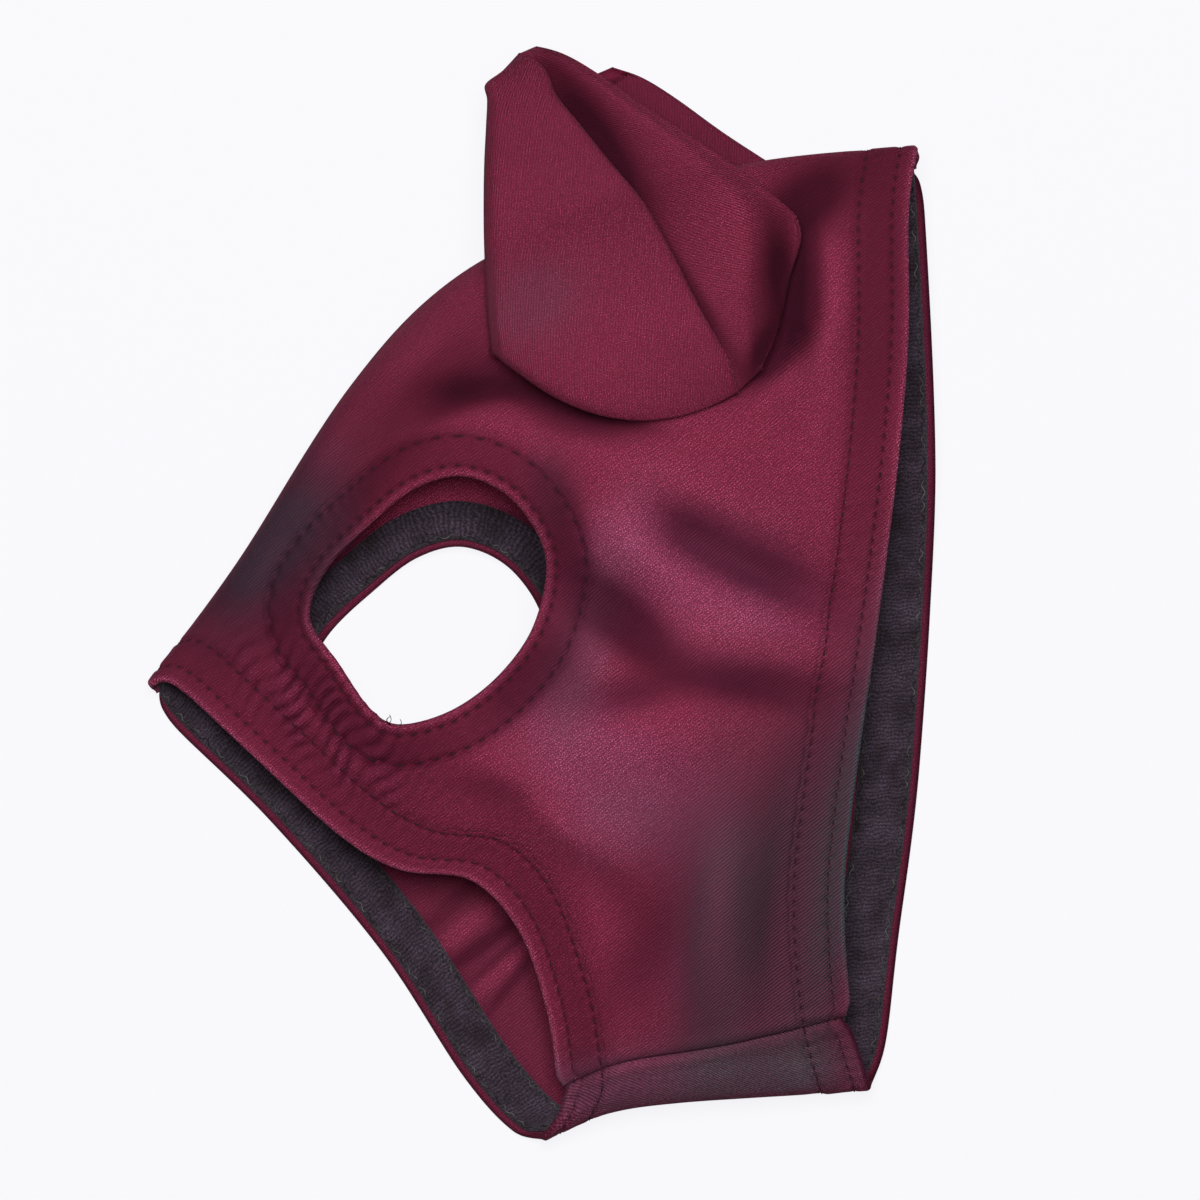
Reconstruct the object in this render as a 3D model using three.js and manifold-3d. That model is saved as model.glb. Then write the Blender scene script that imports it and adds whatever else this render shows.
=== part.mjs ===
// Stretch-fabric horse mask for a toy horse's head, lying on its right side as it rests on a table.
// Millimetres, +Z up. The nose opening faces -X, the neck opening +X, and the ears point to +Y.
// The left panel is the upper layer, the right panel the layer on the table, and both wrap round
// the two folds that run from opening to opening: the forehead fold (+Y) and the throat fold (-Y).
import * as THREE from "three";
import { mergeVertices } from "three/addons/utils/BufferGeometryUtils.js";
import Module from "manifold-3d";

const wasm = await Module();
wasm.setup();

// Driving dimensions
const WALL = 1.0; // the knitted fabric
const GAP = 0.3; // between neighbouring pieces
const HEM_ROLL = { width: 2.4, taper: 3.0, extra: 1.0 }; // the edge of an opening is rolled over and twice as thick
const TAPE = { from: 3.6, to: 10.6, thick: 0.8 }; // tape behind the hems, measured from an opening's edge
const EYE_TAPE_TO = 9.2;
// Seams in radians round the body from the forehead fold, each with the gap that keeps its edges apart
// and the sag of its middle towards the throat fold
const TOP_SEAM = { at: -0.28, gap: 0.016, sag: 0 }; // just under the forehead fold
const THROAT_SEAM = { at: 2.55, gap: 0.0065, sag: 0.09 }; // on the upper layer, just above the throat fold
const FLAT_SHARE = 0.55; // sine of the angle past which the lower layer lies flat
const ROLL_POWER = 1.6; // how the lower layer leaves the table towards a fold
const EAR_STACK = { height: 6.9, from: -3, to: 27 }; // the ear under the mask lifts the layer above it
const EAR_REST = { height: 26.4, y: 60, slope: 0.28, blend: 1.0 }; // where the upper ear leaves the body
const EAR_STEP = 1.6; // width of the step down from the ear's folded flap to its lobe
const EAR_EDGE = 2.6; // height of the ear's seamed sides
const EAR_TRIM = 0.03; // share of an ear's length that its closed base and tip take
const EAR_CUT = 0.2; // how far the hole's cut reaches into the pocket
const LOWER_EAR_SHIFT = { x: 15.2, y: -3.6 }; // the two layers lie a little out of line
const LOWER_EYE_SHIFT = { x: -0.4, y: -13.3 };
const EAR_HOLE = { x: 24.0, y: 54.0, across: 17.0, along: 8.5, turn: -0.1 };
const CUT_REACH = 80; // length of the tools that cut the holes

// Outlines in plan, one row for each point
const BRIDGE = { x: -78.8, y: -18.1 };
const POLL = { x: 74.4, y: 88.6 };
const CHIN = { x: 0.1, y: -109.2 };
const THROAT = { x: 65.5, y: -98.8 };
const FOREHEAD_FOLD = [
  BRIDGE,
  { x: -60.1, y: 7.0 },
  { x: -38.2, y: 40.7 },
  { x: -19.4, y: 60.8 },
  { x: 3.5, y: 73.1 },
  { x: 39.2, y: 84.8 },
  POLL,
];
const THROAT_FOLD = [CHIN, { x: 12.4, y: -103.8 }, { x: 27.6, y: -101.4 }, { x: 53.4, y: -99.7 }, THROAT];
const NOSE_EDGE = {
  upper: [
    BRIDGE,
    { x: -72.8, y: -18.5 },
    { x: -58.2, y: -31.4 },
    { x: -40.2, y: -47.8 },
    { x: -28.2, y: -54.7 },
    { x: -14.0, y: -56.9 },
    { x: -4.5, y: -67.0 },
    { x: 1.0, y: -83.0 },
    { x: 2.4, y: -97.0 },
    CHIN,
  ],
  lower: [
    BRIDGE,
    { x: -74.9, y: -25.3 },
    { x: -54.6, y: -45.3 },
    { x: -32.4, y: -71.3 },
    { x: -16.1, y: -96.2 },
    { x: -6.0, y: -107.5 },
    CHIN,
  ],
};
const NECK_EDGE = {
  upper: [
    POLL,
    { x: 72.4, y: 75.0 },
    { x: 71.9, y: 46.0 },
    { x: 67.6, y: 4.1 },
    { x: 61.3, y: -42.0 },
    { x: 59.8, y: -62.0 },
    { x: 61.5, y: -84.0 },
    THROAT,
  ],
  lower: [
    POLL,
    { x: 76.0, y: 78.0 },
    { x: 78.3, y: 21.6 },
    { x: 75.5, y: -33.3 },
    { x: 70.2, y: -70.1 },
    THROAT,
  ],
};
const EYE_HOLE = [
  { x: -46.2, y: -4.6 },
  { x: -42.7, y: 4.5 },
  { x: -33.5, y: 13.7 },
  { x: -24.5, y: 20.6 },
  { x: -15.0, y: 22.7 },
  { x: -5.5, y: 17.8 },
  { x: 0.6, y: 7.0 },
  { x: -1.5, y: -5.9 },
  { x: -8.3, y: -15.9 },
  { x: -17.6, y: -22.9 },
  { x: -28.0, y: -25.9 },
  { x: -34.0, y: -22.8 },
  { x: -40.2, y: -14.0 },
];

// Heights of the body at stations from the nose opening to the neck opening
const BODY_HEIGHTS = [
  { along: 0.0, fold: 6.0, dome: 18 },
  { along: 0.25, fold: 7.5, dome: 27 },
  { along: 0.6, fold: 8.5, dome: 31 },
  { along: 1.0, fold: 7.5, dome: 23 },
];

// Soft ridges and dents of the upper layer: the middle in plan, the turn of its length from +X in
// degrees, its half length and half width, and its height
const SOFT_FOLDS = [
  { x: 48, y: 54, turn: 68, long: 20, wide: 6, height: 2.2 }, // ridge beside the ear
  { x: 36, y: 10, turn: -23, long: 17, wide: 7, height: -1.5 }, // dent towards the neck hem
  { x: 16, y: -5, turn: -25, long: 11, wide: 7, height: -1.2 }, // dent behind the eye
  { x: 31, y: -20, turn: 8, long: 30, wide: 9, height: 1.4 }, // ridge under the two dents
  { x: 4, y: -46, turn: -35, long: 14, wide: 6, height: 1.4 }, // fold behind the nose hem
  { x: -50, y: 12, turn: 52, long: 14, wide: 7, height: -1.2 }, // dent between eye and forehead
];

// Sections of an ear from its base to its tip: the seamed sides, the edge of the folded flap between
// them, the heights of flap and lobe above the ear's back layer, and how far the flap's middle hangs down
const EAR_SECTIONS = [
  { left: [-9.3, 45.1], fold: [37.6, 37.0], right: [40.2, 39.2], flap: 5.0, lobe: 3.2, sag: 7.6 },
  { left: [-10.2, 51.0], fold: [35.2, 45.4], right: [46.4, 50.0], flap: 8.6, lobe: 4.6, sag: 5.2 },
  { left: [-10.6, 59.2], fold: [29.4, 56.0], right: [50.8, 66.0], flap: 10.5, lobe: 6.0, sag: 2.6 },
  { left: [-10.8, 72.9], fold: [19.6, 71.8], right: [48.0, 75.4], flap: 10.0, lobe: 6.2, sag: 0.8 },
  { left: [-11.0, 86.5], fold: [9.6, 86.0], right: [30.8, 87.0], flap: 8.2, lobe: 5.4, sag: 0.0 },
  { left: [-11.2, 97.0], fold: [2.4, 95.6], right: [13.6, 98.6], flap: 6.4, lobe: 4.4, sag: 0.0 },
  { left: [-8.4, 102.8], fold: [-3.6, 105.2], right: [-0.8, 107.2], flap: 3.6, lobe: 3.2, sag: 0.0 },
];
// Points across an ear's section: share of the way from side to fold, and share of the flap's or lobe's rise
const FLAP_POINTS = [
  { across: 0.0, rise: 0.0 },
  { across: 0.07, rise: 0.6 },
  { across: 0.22, rise: 0.92 },
  { across: 0.42, rise: 1.0 },
  { across: 0.62, rise: 1.0 },
  { across: 0.82, rise: 0.96 },
  { across: 1.0, rise: 0.9 },
];
const LOBE_POINTS = [
  { across: 0.0, rise: 0.55 },
  { across: 0.4, rise: 1.0 },
  { across: 0.85, rise: 0.75 },
  { across: 1.0, rise: 0.0 },
];
const EAR_ROWS = 13; // rows of facets from base to tip

// Facets of the panels and tapes
const PANEL_ALONG = 18;
const PANEL_AROUND = 26;
const RING_AROUND = 40;

const FABRIC = new THREE.MeshStandardMaterial({ color: 0x75253f, roughness: 0.62, metalness: 0 });
const WOOLLY_TAPE = new THREE.MeshStandardMaterial({ color: 0x262227, roughness: 0.95, metalness: 0 });

// Small functions
const mix = (a, b, share) => a + (b - a) * share;
const smooth = (low, high, value) => THREE.MathUtils.smoothstep(value, low, high);
const softMax = (a, b, blend) => (a + b + Math.hypot(a - b, blend)) / 2;
const curveThrough = (points) => new THREE.SplineCurve(points.map((p) => new THREE.Vector2(p.x, p.y)));

function tableValue(rows, key, column, at) {
  const next = rows.findIndex((row) => row[key] >= at);
  if (next <= 0) return rows[next < 0 ? rows.length - 1 : 0][column];
  const [low, high] = [rows[next - 1], rows[next]];
  return mix(low[column], high[column], smooth(low[key], high[key], at));
}

const FOLDS = { forehead: curveThrough(FOREHEAD_FOLD), throat: curveThrough(THROAT_FOLD) };
const LAYERS = {
  upper: { nose: curveThrough(NOSE_EDGE.upper), neck: curveThrough(NECK_EDGE.upper) },
  lower: { nose: curveThrough(NOSE_EDGE.lower), neck: curveThrough(NECK_EDGE.lower) },
};

// A layer in plan: a patch between its four edges, down from the forehead (0) to the throat (1)
function planPoint(layer, along, down) {
  const inside = (value) => THREE.MathUtils.clamp(value, 0, 1);
  const nose = layer.nose.getPointAt(inside(down));
  const neck = layer.neck.getPointAt(inside(down));
  const forehead = FOLDS.forehead.getPointAt(inside(along));
  const throat = FOLDS.throat.getPointAt(inside(along));
  const patch = (axis) =>
    mix(nose[axis], neck[axis], along) +
    mix(forehead[axis], throat[axis], down) -
    mix(mix(BRIDGE[axis], POLL[axis], along), mix(CHIN[axis], THROAT[axis], along), down);
  return { x: patch("x"), y: patch("y") };
}

function softFolds(x, y) {
  const rise = (fold) => {
    const turn = THREE.MathUtils.degToRad(fold.turn);
    const [dx, dy] = [x - fold.x, y - fold.y];
    const along = (dx * Math.cos(turn) + dy * Math.sin(turn)) / fold.long;
    const across = (dy * Math.cos(turn) - dx * Math.sin(turn)) / fold.wide;
    return fold.height * Math.exp(-along * along - across * across);
  };
  return SOFT_FOLDS.reduce((sum, fold) => sum + rise(fold), 0);
}

// The body's outer surface. Around is an angle: 0 at the forehead fold, pi at the throat fold, with
// the upper layer between them and the lower layer past them.
function bodyPoint(along, around) {
  const upward = Math.sin(around);
  const layer = upward >= 0 ? LAYERS.upper : LAYERS.lower;
  const { x, y } = planPoint(layer, along, (1 - Math.cos(around)) / 2);
  const fold = tableValue(BODY_HEIGHTS, "along", "fold", along);
  const dome = tableValue(BODY_HEIGHTS, "along", "dome", along);
  const lift = EAR_STACK.height * smooth(EAR_STACK.from, EAR_STACK.to, y);
  const roll = Math.max(0, 1 + upward / FLAT_SHARE) ** ROLL_POWER;
  const z = upward >= 0 ? fold + (dome - fold + softFolds(x, y)) * upward : fold * roll;
  return new THREE.Vector3(x, y, lift + z);
}

function bodyNormal(along, around) {
  const step = 1e-3;
  const a = THREE.MathUtils.clamp(along, step, 1 - step);
  const alongSurface = bodyPoint(a + step, around).sub(bodyPoint(a - step, around));
  const aroundSurface = bodyPoint(a, around + step).sub(bodyPoint(a, around - step));
  return aroundSurface.cross(alongSurface).normalize();
}

function bodyAt([along, around], depth) {
  return bodyPoint(along, around).addScaledVector(bodyNormal(along, around), -depth);
}

// Station at a distance in from the nose opening's edge (edge 0) or the neck opening's (edge 1)
function alongFromEdge(edge, distance, around) {
  const step = 0.02;
  const inner = edge === 0 ? step : 1 - step;
  const reach = bodyPoint(edge, around).distanceTo(bodyPoint(inner, around)) / step;
  return edge === 0 ? distance / reach : 1 - distance / reach;
}

// Station and angle of the point of a layer that lies at x, y in plan
function findOnBody(x, y, upper) {
  const layer = upper ? LAYERS.upper : LAYERS.lower;
  const step = 1e-3;
  let along = 0.5;
  let down = 0.5;
  for (let round = 0; round < 14; round++) {
    const here = planPoint(layer, along, down);
    const nextAlong = planPoint(layer, along + step, down);
    const nextDown = planPoint(layer, along, down + step);
    const [ax, ay] = [(nextAlong.x - here.x) / step, (nextAlong.y - here.y) / step];
    const [dx, dy] = [(nextDown.x - here.x) / step, (nextDown.y - here.y) / step];
    const [ex, ey] = [x - here.x, y - here.y];
    const area = ax * dy - ay * dx;
    along = THREE.MathUtils.clamp(along + (ex * dy - ey * dx) / area, 0, 0.999);
    down = THREE.MathUtils.clamp(down + (ax * ey - ay * ex) / area, 0, 0.999);
  }
  const found = planPoint(layer, along, down);
  const angle = Math.acos(1 - 2 * down);
  return {
    place: [along, upper ? angle : -angle],
    miss: Math.hypot(found.x - x, found.y - y),
  };
}

// Geometry from a grid of points: closed all round between an outer and an inner skin
function geometryFrom(points, triangles) {
  const geometry = new THREE.BufferGeometry();
  geometry.setAttribute("position", new THREE.Float32BufferAttribute(points.flatMap((p) => [p.x, p.y, p.z]), 3));
  geometry.setIndex(triangles);
  return geometry;
}

function quad(triangles, a, b, c, d) {
  triangles.push(a, b, c, a, c, d);
}

// A slab between two skins over a grid of rows and columns. The columns may run round a closed loop.
function slab(rows, columns, closed, outerSkin, innerSkin) {
  const points = [];
  const triangles = [];
  const across = closed ? columns : columns + 1;
  for (const skin of [outerSkin, innerSkin])
    for (let row = 0; row <= rows; row++)
      for (let column = 0; column < across; column++) points.push(skin(row, column / columns));
  const inner = (rows + 1) * across;
  const at = (row, column) => row * across + (column % across);
  for (let row = 0; row < rows; row++)
    for (let column = 0; column < columns; column++) {
      const [a, b, c, d] = [
        at(row, column),
        at(row, column + 1),
        at(row + 1, column + 1),
        at(row + 1, column),
      ];
      quad(triangles, a, b, c, d);
      quad(triangles, inner + a, inner + d, inner + c, inner + b);
    }
  for (let column = 0; column < columns; column++) {
    const [a, b] = [at(0, column), at(0, column + 1)];
    quad(triangles, a, inner + a, inner + b, b);
    const [c, d] = [at(rows, column), at(rows, column + 1)];
    quad(triangles, c, d, inner + d, inner + c);
  }
  for (let row = 0; row < rows && !closed; row++) {
    const [a, b] = [at(row, 0), at(row + 1, 0)];
    quad(triangles, a, b, inner + b, inner + a);
    const [c, d] = [at(row, columns), at(row + 1, columns)];
    quad(triangles, c, inner + c, inner + d, d);
  }
  return geometryFrom(points, triangles);
}

// Solids for joining and cutting
function solidFrom(geometry) {
  const bare = geometry.clone();
  bare.deleteAttribute("normal");
  bare.deleteAttribute("uv");
  const merged = mergeVertices(bare, 1e-4);
  return new wasm.Manifold(
    new wasm.Mesh({
      numProp: 3,
      vertProperties: new Float32Array(merged.attributes.position.array),
      triVerts: new Uint32Array(merged.index.array),
    }),
  );
}

function geometryOf(solid) {
  const { vertProperties, triVerts } = solid.getMesh();
  const geometry = new THREE.BufferGeometry();
  geometry.setAttribute("position", new THREE.BufferAttribute(vertProperties, 3));
  geometry.setIndex(new THREE.BufferAttribute(triVerts, 1));
  return geometry;
}

function cutter(points, low, high) {
  const shape = new THREE.Shape(points.map((p) => new THREE.Vector2(p.x, p.y)));
  const geometry = new THREE.ExtrudeGeometry(shape, { depth: high - low, bevelEnabled: false });
  return solidFrom(geometry.translate(0, 0, low));
}

// Heights between which the upper or the lower layer is cut without touching the other
function sideHeights(upper) {
  const middle = BODY_HEIGHTS[2].fold;
  return upper ? [middle, CUT_REACH] : [-CUT_REACH, middle + EAR_STACK.height];
}

// Outlines of the holes. The eye's may be drawn at a distance from its edge.
function eyeRingPoints(upper, offset) {
  const shift = upper ? { x: 0, y: 0 } : LOWER_EYE_SHIFT;
  const points = EYE_HOLE.map((p) => new THREE.Vector3(p.x + shift.x, p.y + shift.y, 0));
  const outline = new THREE.CatmullRomCurve3(points, true, "centripetal");
  return Array.from({ length: RING_AROUND }, (_, i) => {
    const here = outline.getPointAt(i / RING_AROUND);
    const ahead = outline.getTangentAt(i / RING_AROUND);
    return { x: here.x - ahead.y * offset, y: here.y + ahead.x * offset };
  });
}

function earHoleOutline(upper) {
  const shift = upper ? { x: 0, y: 0 } : LOWER_EAR_SHIFT;
  const ellipse = new THREE.EllipseCurve(
    EAR_HOLE.x + shift.x,
    EAR_HOLE.y + shift.y,
    EAR_HOLE.across,
    EAR_HOLE.along,
    0,
    2 * Math.PI,
    false,
    EAR_HOLE.turn,
  );
  return ellipse.getPoints(24).slice(0, -1);
}

// The angle round the body at a share of the way over a panel, from seam to seam
function panelAngle(upper, along, share) {
  const seam = ({ at, sag }) => at + sag * Math.sin(Math.PI * along);
  if (upper) return mix(seam(TOP_SEAM), seam(THROAT_SEAM), share);
  return mix(seam(THROAT_SEAM) + THROAT_SEAM.gap, 2 * Math.PI + seam(TOP_SEAM) - TOP_SEAM.gap, share);
}

// Stations of a panel's rows of facets: the rolled edge and the tape at each opening, and the stretch between
function panelStations(around) {
  const bands = [0, HEM_ROLL.width, HEM_ROLL.taper, TAPE.to];
  const hem = (edge) => bands.map((distance) => alongFromEdge(edge, distance, around));
  const [nose, neck] = [hem(0), hem(1).reverse()];
  const middle = Array.from({ length: PANEL_ALONG - 1 }, (_, i) => mix(nose[3], neck[0], (i + 1) / PANEL_ALONG));
  return [...nose, ...middle, ...neck];
}

// A layer of a panel between two depths under its outer face, thicker along the openings by a roll
function panelLayer(upper, depth, thick, roll) {
  const rows = PANEL_ALONG + 6;
  const skin = (depthOf) => (row, share) => {
    const along = panelStations(panelAngle(upper, row / rows, share))[row];
    return bodyAt([along, panelAngle(upper, along, share)], depthOf(row));
  };
  const inner = (row) => depth + thick + (row < 2 || row > rows - 2 ? roll : 0);
  return solidFrom(slab(rows, PANEL_AROUND, false, skin(() => depth), skin(inner)));
}

// A layer of a panel cut to a ring round its eye hole, between two distances from the hole's edge
function eyeRing(upper, from, to, depth, thick) {
  const [low, high] = sideHeights(upper);
  const inside = cutter(eyeRingPoints(upper, from), low, high);
  const outside = cutter(eyeRingPoints(upper, to), low, high);
  return panelLayer(upper, depth, thick, 0).intersect(outside).subtract(inside);
}

function panel(upper) {
  const [low, high] = sideHeights(upper);
  const rim = eyeRing(upper, 0, HEM_ROLL.width, WALL / 2, WALL / 2 + HEM_ROLL.extra);
  const eye = cutter(eyeRingPoints(upper, 0), low, high);
  const ear = cutter(earHoleOutline(upper), low, high);
  const wall = panelLayer(upper, 0, WALL, HEM_ROLL.extra);
  return geometryOf(wall.add(rim).subtract(eye).subtract(ear));
}

// Tape sewn behind the hem of the nose opening (edge 0) or the neck opening (edge 1)
function openingTape(edge) {
  const depth = WALL + GAP;
  const limits = edge === 0 ? [TAPE.from, TAPE.to] : [TAPE.to, TAPE.from];
  const shares = Array.from({ length: PANEL_AROUND + 1 }, (_, i) => i / PANEL_AROUND);
  const angles = [true, false].flatMap((upper) => shares.map((share) => panelAngle(upper, edge, share)));
  const skin = (level) => (row, share) => {
    const around = angles[Math.round(share * angles.length)];
    return bodyAt([alongFromEdge(edge, limits[row], around), around], level);
  };
  return slab(1, angles.length, true, skin(depth), skin(depth + TAPE.thick));
}

function eyeTape(upper) {
  return geometryOf(eyeRing(upper, TAPE.from, EYE_TAPE_TO, WALL + GAP, TAPE.thick));
}

// An ear's section at a share of the way from base to tip
function earSection(share) {
  const place = share * (EAR_SECTIONS.length - 1);
  const first = Math.min(Math.floor(place), EAR_SECTIONS.length - 2);
  const [low, high] = [EAR_SECTIONS[first], EAR_SECTIONS[first + 1]];
  const part = place - first;
  const between = (key) => ({
    x: mix(low[key][0], high[key][0], part),
    y: mix(low[key][1], high[key][1], part),
  });
  return {
    left: between("left"),
    fold: between("fold"),
    right: between("right"),
    flap: mix(low.flap, high.flap, part),
    lobe: mix(low.lobe, high.lobe, part),
    sag: mix(low.sag, high.sag, part),
  };
}

function step(from, to, distance) {
  const length = Math.hypot(to.x - from.x, to.y - from.y);
  return { x: mix(from.x, to.x, distance / length), y: mix(from.y, to.y, distance / length) };
}

// Points across an ear's front layer from side to side, each with its height above the back layer.
// An inset draws the ear's inside, that far in from its outer faces.
function earFront(share, inset) {
  const section = earSection(share);
  const left = step(section.left, section.fold, inset);
  const right = step(section.right, section.fold, inset);
  const flapEdge = step(section.fold, section.left, inset);
  const lobeEdge = step(section.fold, section.right, Math.max(0.2, EAR_STEP - inset));
  const flap = FLAP_POINTS.map(({ across, rise }) => ({
    x: mix(left.x, flapEdge.x, across),
    y: mix(left.y, flapEdge.y, across) - section.sag * 4 * across * (1 - across),
    height: mix(EAR_EDGE, section.flap, rise),
  }));
  const lobe = LOBE_POINTS.map(({ across, rise }) => ({
    x: mix(lobeEdge.x, right.x, across),
    y: mix(lobeEdge.y, right.y, across),
    height: mix(EAR_EDGE, section.lobe, rise),
  }));
  return [...flap, ...lobe];
}

// Height of the upper ear's back layer: on the body near its base, and clear of it towards the tip
function earBed(x, y) {
  const ramp = EAR_REST.height - EAR_REST.slope * (y - EAR_REST.y);
  const found = findOnBody(x, y, true);
  const body = found.miss < 0.01 ? bodyPoint(...found.place).z + GAP : 0;
  return softMax(body, ramp, EAR_REST.blend);
}

// A point of an ear at a height above its back layer. The lower ear is turned over and pressed flatter.
function earPoint(upper, { x, y }, height) {
  if (upper) return new THREE.Vector3(x, y, earBed(x, y) + height);
  return new THREE.Vector3(x + LOWER_EAR_SHIFT.x, y + LOWER_EAR_SHIFT.y, EAR_STACK.height - 2 * GAP - height);
}

// The solid between two heights over an ear's back layer, which may be given for each point
function earLayer(upper, inset, bottomOf, topOf) {
  const trim = inset > 0 ? EAR_TRIM : 0;
  const last = FLAP_POINTS.length + LOBE_POINTS.length - 1;
  const skin = (heightOf) => (row, share) => {
    const point = earFront(mix(trim, 1 - trim, row / EAR_ROWS), inset)[Math.round(share * last)];
    return earPoint(upper, point, heightOf(point));
  };
  const skins = upper ? [skin(topOf), skin(bottomOf)] : [skin(bottomOf), skin(topOf)];
  return solidFrom(slab(EAR_ROWS, last, false, ...skins));
}

// An ear is a pocket that opens into the body through a hole in its back layer
function ear(upper) {
  const tallest = Math.max(...EAR_SECTIONS.map((section) => section.flap));
  const press = upper ? 1 : (EAR_STACK.height - 2 * GAP) / tallest;
  const front = ({ height }) => Math.max(EAR_EDGE, height * press);
  const outside = earLayer(upper, 0, () => 0, front);
  const inside = earLayer(upper, WALL, () => WALL, (point) => front(point) - WALL);
  const back = earLayer(upper, 0, () => -WALL, () => WALL + EAR_CUT);
  const hole = cutter(earHoleOutline(upper), -CUT_REACH, CUT_REACH);
  return geometryOf(outside.subtract(inside).subtract(back.intersect(hole)));
}

function piece(name, geometry, material) {
  const mesh = new THREE.Mesh(geometry, material);
  mesh.name = name;
  return mesh;
}

const mask = new THREE.Group();
mask.name = "horse_mask";
mask.add(
  piece("left_panel", panel(true), FABRIC),
  piece("right_panel", panel(false), FABRIC),
  piece("left_ear", ear(true), FABRIC),
  piece("right_ear", ear(false), FABRIC),
  piece("nose_tape", openingTape(0), WOOLLY_TAPE),
  piece("neck_tape", openingTape(1), WOOLLY_TAPE),
  piece("left_eye_tape", eyeTape(true), WOOLLY_TAPE),
  piece("right_eye_tape", eyeTape(false), WOOLLY_TAPE),
);

// The origin is under the middle of the mask's box
const box = new THREE.Box3().setFromObject(mask);
const middle = box.getCenter(new THREE.Vector3());
mask.position.set(-middle.x, -middle.y, -box.min.z);

export default mask;
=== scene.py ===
"""Looks of a stretch-fabric mask for a toy horse's head, lying on its right side on a pale table.

The outlines and heights repeat those of the CAD part, in millimetres, and each mesh is made in metres in
its frame. The upper layer is the mask's left side, the lower layer its right side.
"""

import math

import bpy
import numpy as np
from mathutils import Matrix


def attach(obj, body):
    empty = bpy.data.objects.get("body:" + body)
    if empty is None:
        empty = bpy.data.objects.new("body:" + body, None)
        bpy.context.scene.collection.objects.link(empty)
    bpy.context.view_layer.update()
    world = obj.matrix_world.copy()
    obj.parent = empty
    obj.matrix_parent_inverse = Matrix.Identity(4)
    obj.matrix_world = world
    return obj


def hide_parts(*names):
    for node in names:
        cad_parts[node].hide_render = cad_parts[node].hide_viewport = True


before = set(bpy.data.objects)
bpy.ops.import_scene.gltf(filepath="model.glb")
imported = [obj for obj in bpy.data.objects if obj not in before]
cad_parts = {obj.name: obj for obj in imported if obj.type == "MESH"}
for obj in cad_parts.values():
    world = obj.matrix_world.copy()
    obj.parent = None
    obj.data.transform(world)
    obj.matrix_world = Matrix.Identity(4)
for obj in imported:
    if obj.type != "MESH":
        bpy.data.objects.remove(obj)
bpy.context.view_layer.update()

# Sizes in millimetres
MM = 0.001
UV_UNIT = 0.01  # units of the cloth's texture map to a millimetre
PLACE = np.array([0.234, 0.982, 0.0])  # from the outlines' origin to the part's
WALL = 1.0
GAP = 0.3
HEM_ROLL = {"radius": 0.7, "width": 0.9, "taper": 1.6, "extra": 0.4}
TAPE = {"from": 1.6, "thick": 0.8, "rows": 20, "step": 0.36}
STITCH_PITCH = 2.6
TOP_SEAM = -0.288  # angles of the seams round the body
THROAT_SEAM = {"at": 2.55325, "sag": 0.09}
SEAM_STEP = {"top": 0.9, "throat": 0.9, "run": 5.0}  # the right panel's hems fall short at the seams
CORNER = {"depth": 1.1, "run": 1.8}  # the openings' corners are rounded off at the seams
FLAT_SHARE = 0.55
ROLL_POWER = 1.6
EAR_STACK = {"height": 6.9, "from": -3.0, "to": 27.0}
EAR_REST = {"height": 26.2, "y": 60.0, "slope": 0.28, "blend": 3.0}
LOWER_EAR_SHIFT = np.array([15.2, -3.6])
LOWER_EYE_SHIFT = np.array([-0.4, -13.3])
EAR_HOLE = {"x": 24.0, "y": 54.0, "turn": -5.73, "long": 17.0, "wide": 8.5}
EAR_CLOTH = 0.5

# Hems: the stitch rows and the tape's far side from the edge, a seed for puckers, and shares of painted shade
# from the tape behind the cloth, of painted shade on the lower layer's rim and of a painted highlight on the
# rolled edge, with how narrow that highlight is
HEM_COLUMNS = ("rows", "tape_to", "seed", "dark", "far_rim_shade", "highlight", "narrow")
NOSE_HEM = dict(zip(HEM_COLUMNS, ((3.8, 10.2), 10.6, 1.0, 0.35, 0.8, 1.0, 1)))
NECK_HEM = dict(zip(HEM_COLUMNS, ((3.4, 9.9), 12.4, 4.0, 0.35, 1.5, 1.0, 3)))
EYE_HEM = dict(zip(HEM_COLUMNS, ((2.2, 8.0), 9.2, 2.0, 0.65, 0.8, 0.3, 1)))

# Outlines in plan
BRIDGE, POLL = (-78.8, -18.1), (74.4, 88.6)
CHIN, THROAT = (0.1, -109.2), (65.5, -98.8)
FOREHEAD_FOLD = [BRIDGE, (-60.1, 7.0), (-38.2, 40.7), (-19.4, 60.8), (3.5, 73.1), (39.2, 84.8), POLL]
THROAT_FOLD = [CHIN, (12.4, -103.8), (27.6, -101.4), (53.4, -99.7), THROAT]
UPPER_NOSE_EDGE = [
    BRIDGE, (-72.8, -18.5), (-58.2, -31.4), (-40.2, -47.8), (-28.2, -54.7), (-14.0, -56.9),
    (-4.5, -67.0), (1.0, -83.0), (3.0, -97.0), (3.2, -103.6), CHIN,
]
LOWER_NOSE_EDGE = [
    BRIDGE, (-74.9, -25.3), (-54.6, -45.3), (-32.4, -71.3), (-16.1, -96.2), (-6.0, -107.5), CHIN,
]
UPPER_NECK_EDGE = [
    POLL, (72.4, 75.0), (71.9, 46.0), (67.6, 4.1), (61.3, -42.0), (59.8, -62.0), (61.5, -84.0), THROAT,
]
LOWER_NECK_EDGE = [POLL, (76.0, 78.0), (78.3, 21.6), (75.5, -33.3), (71.0, -70.1), (68.6, -90.0), THROAT]
EYE_HOLE = [
    (-46.2, -4.6), (-42.7, 4.5), (-33.5, 13.7), (-24.5, 20.6), (-15.0, 22.7), (-5.5, 17.8), (0.6, 7.0),
    (-1.5, -5.9), (-8.3, -15.9), (-17.6, -22.9), (-28.0, -25.9), (-34.0, -22.8), (-40.2, -14.0),
]

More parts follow.
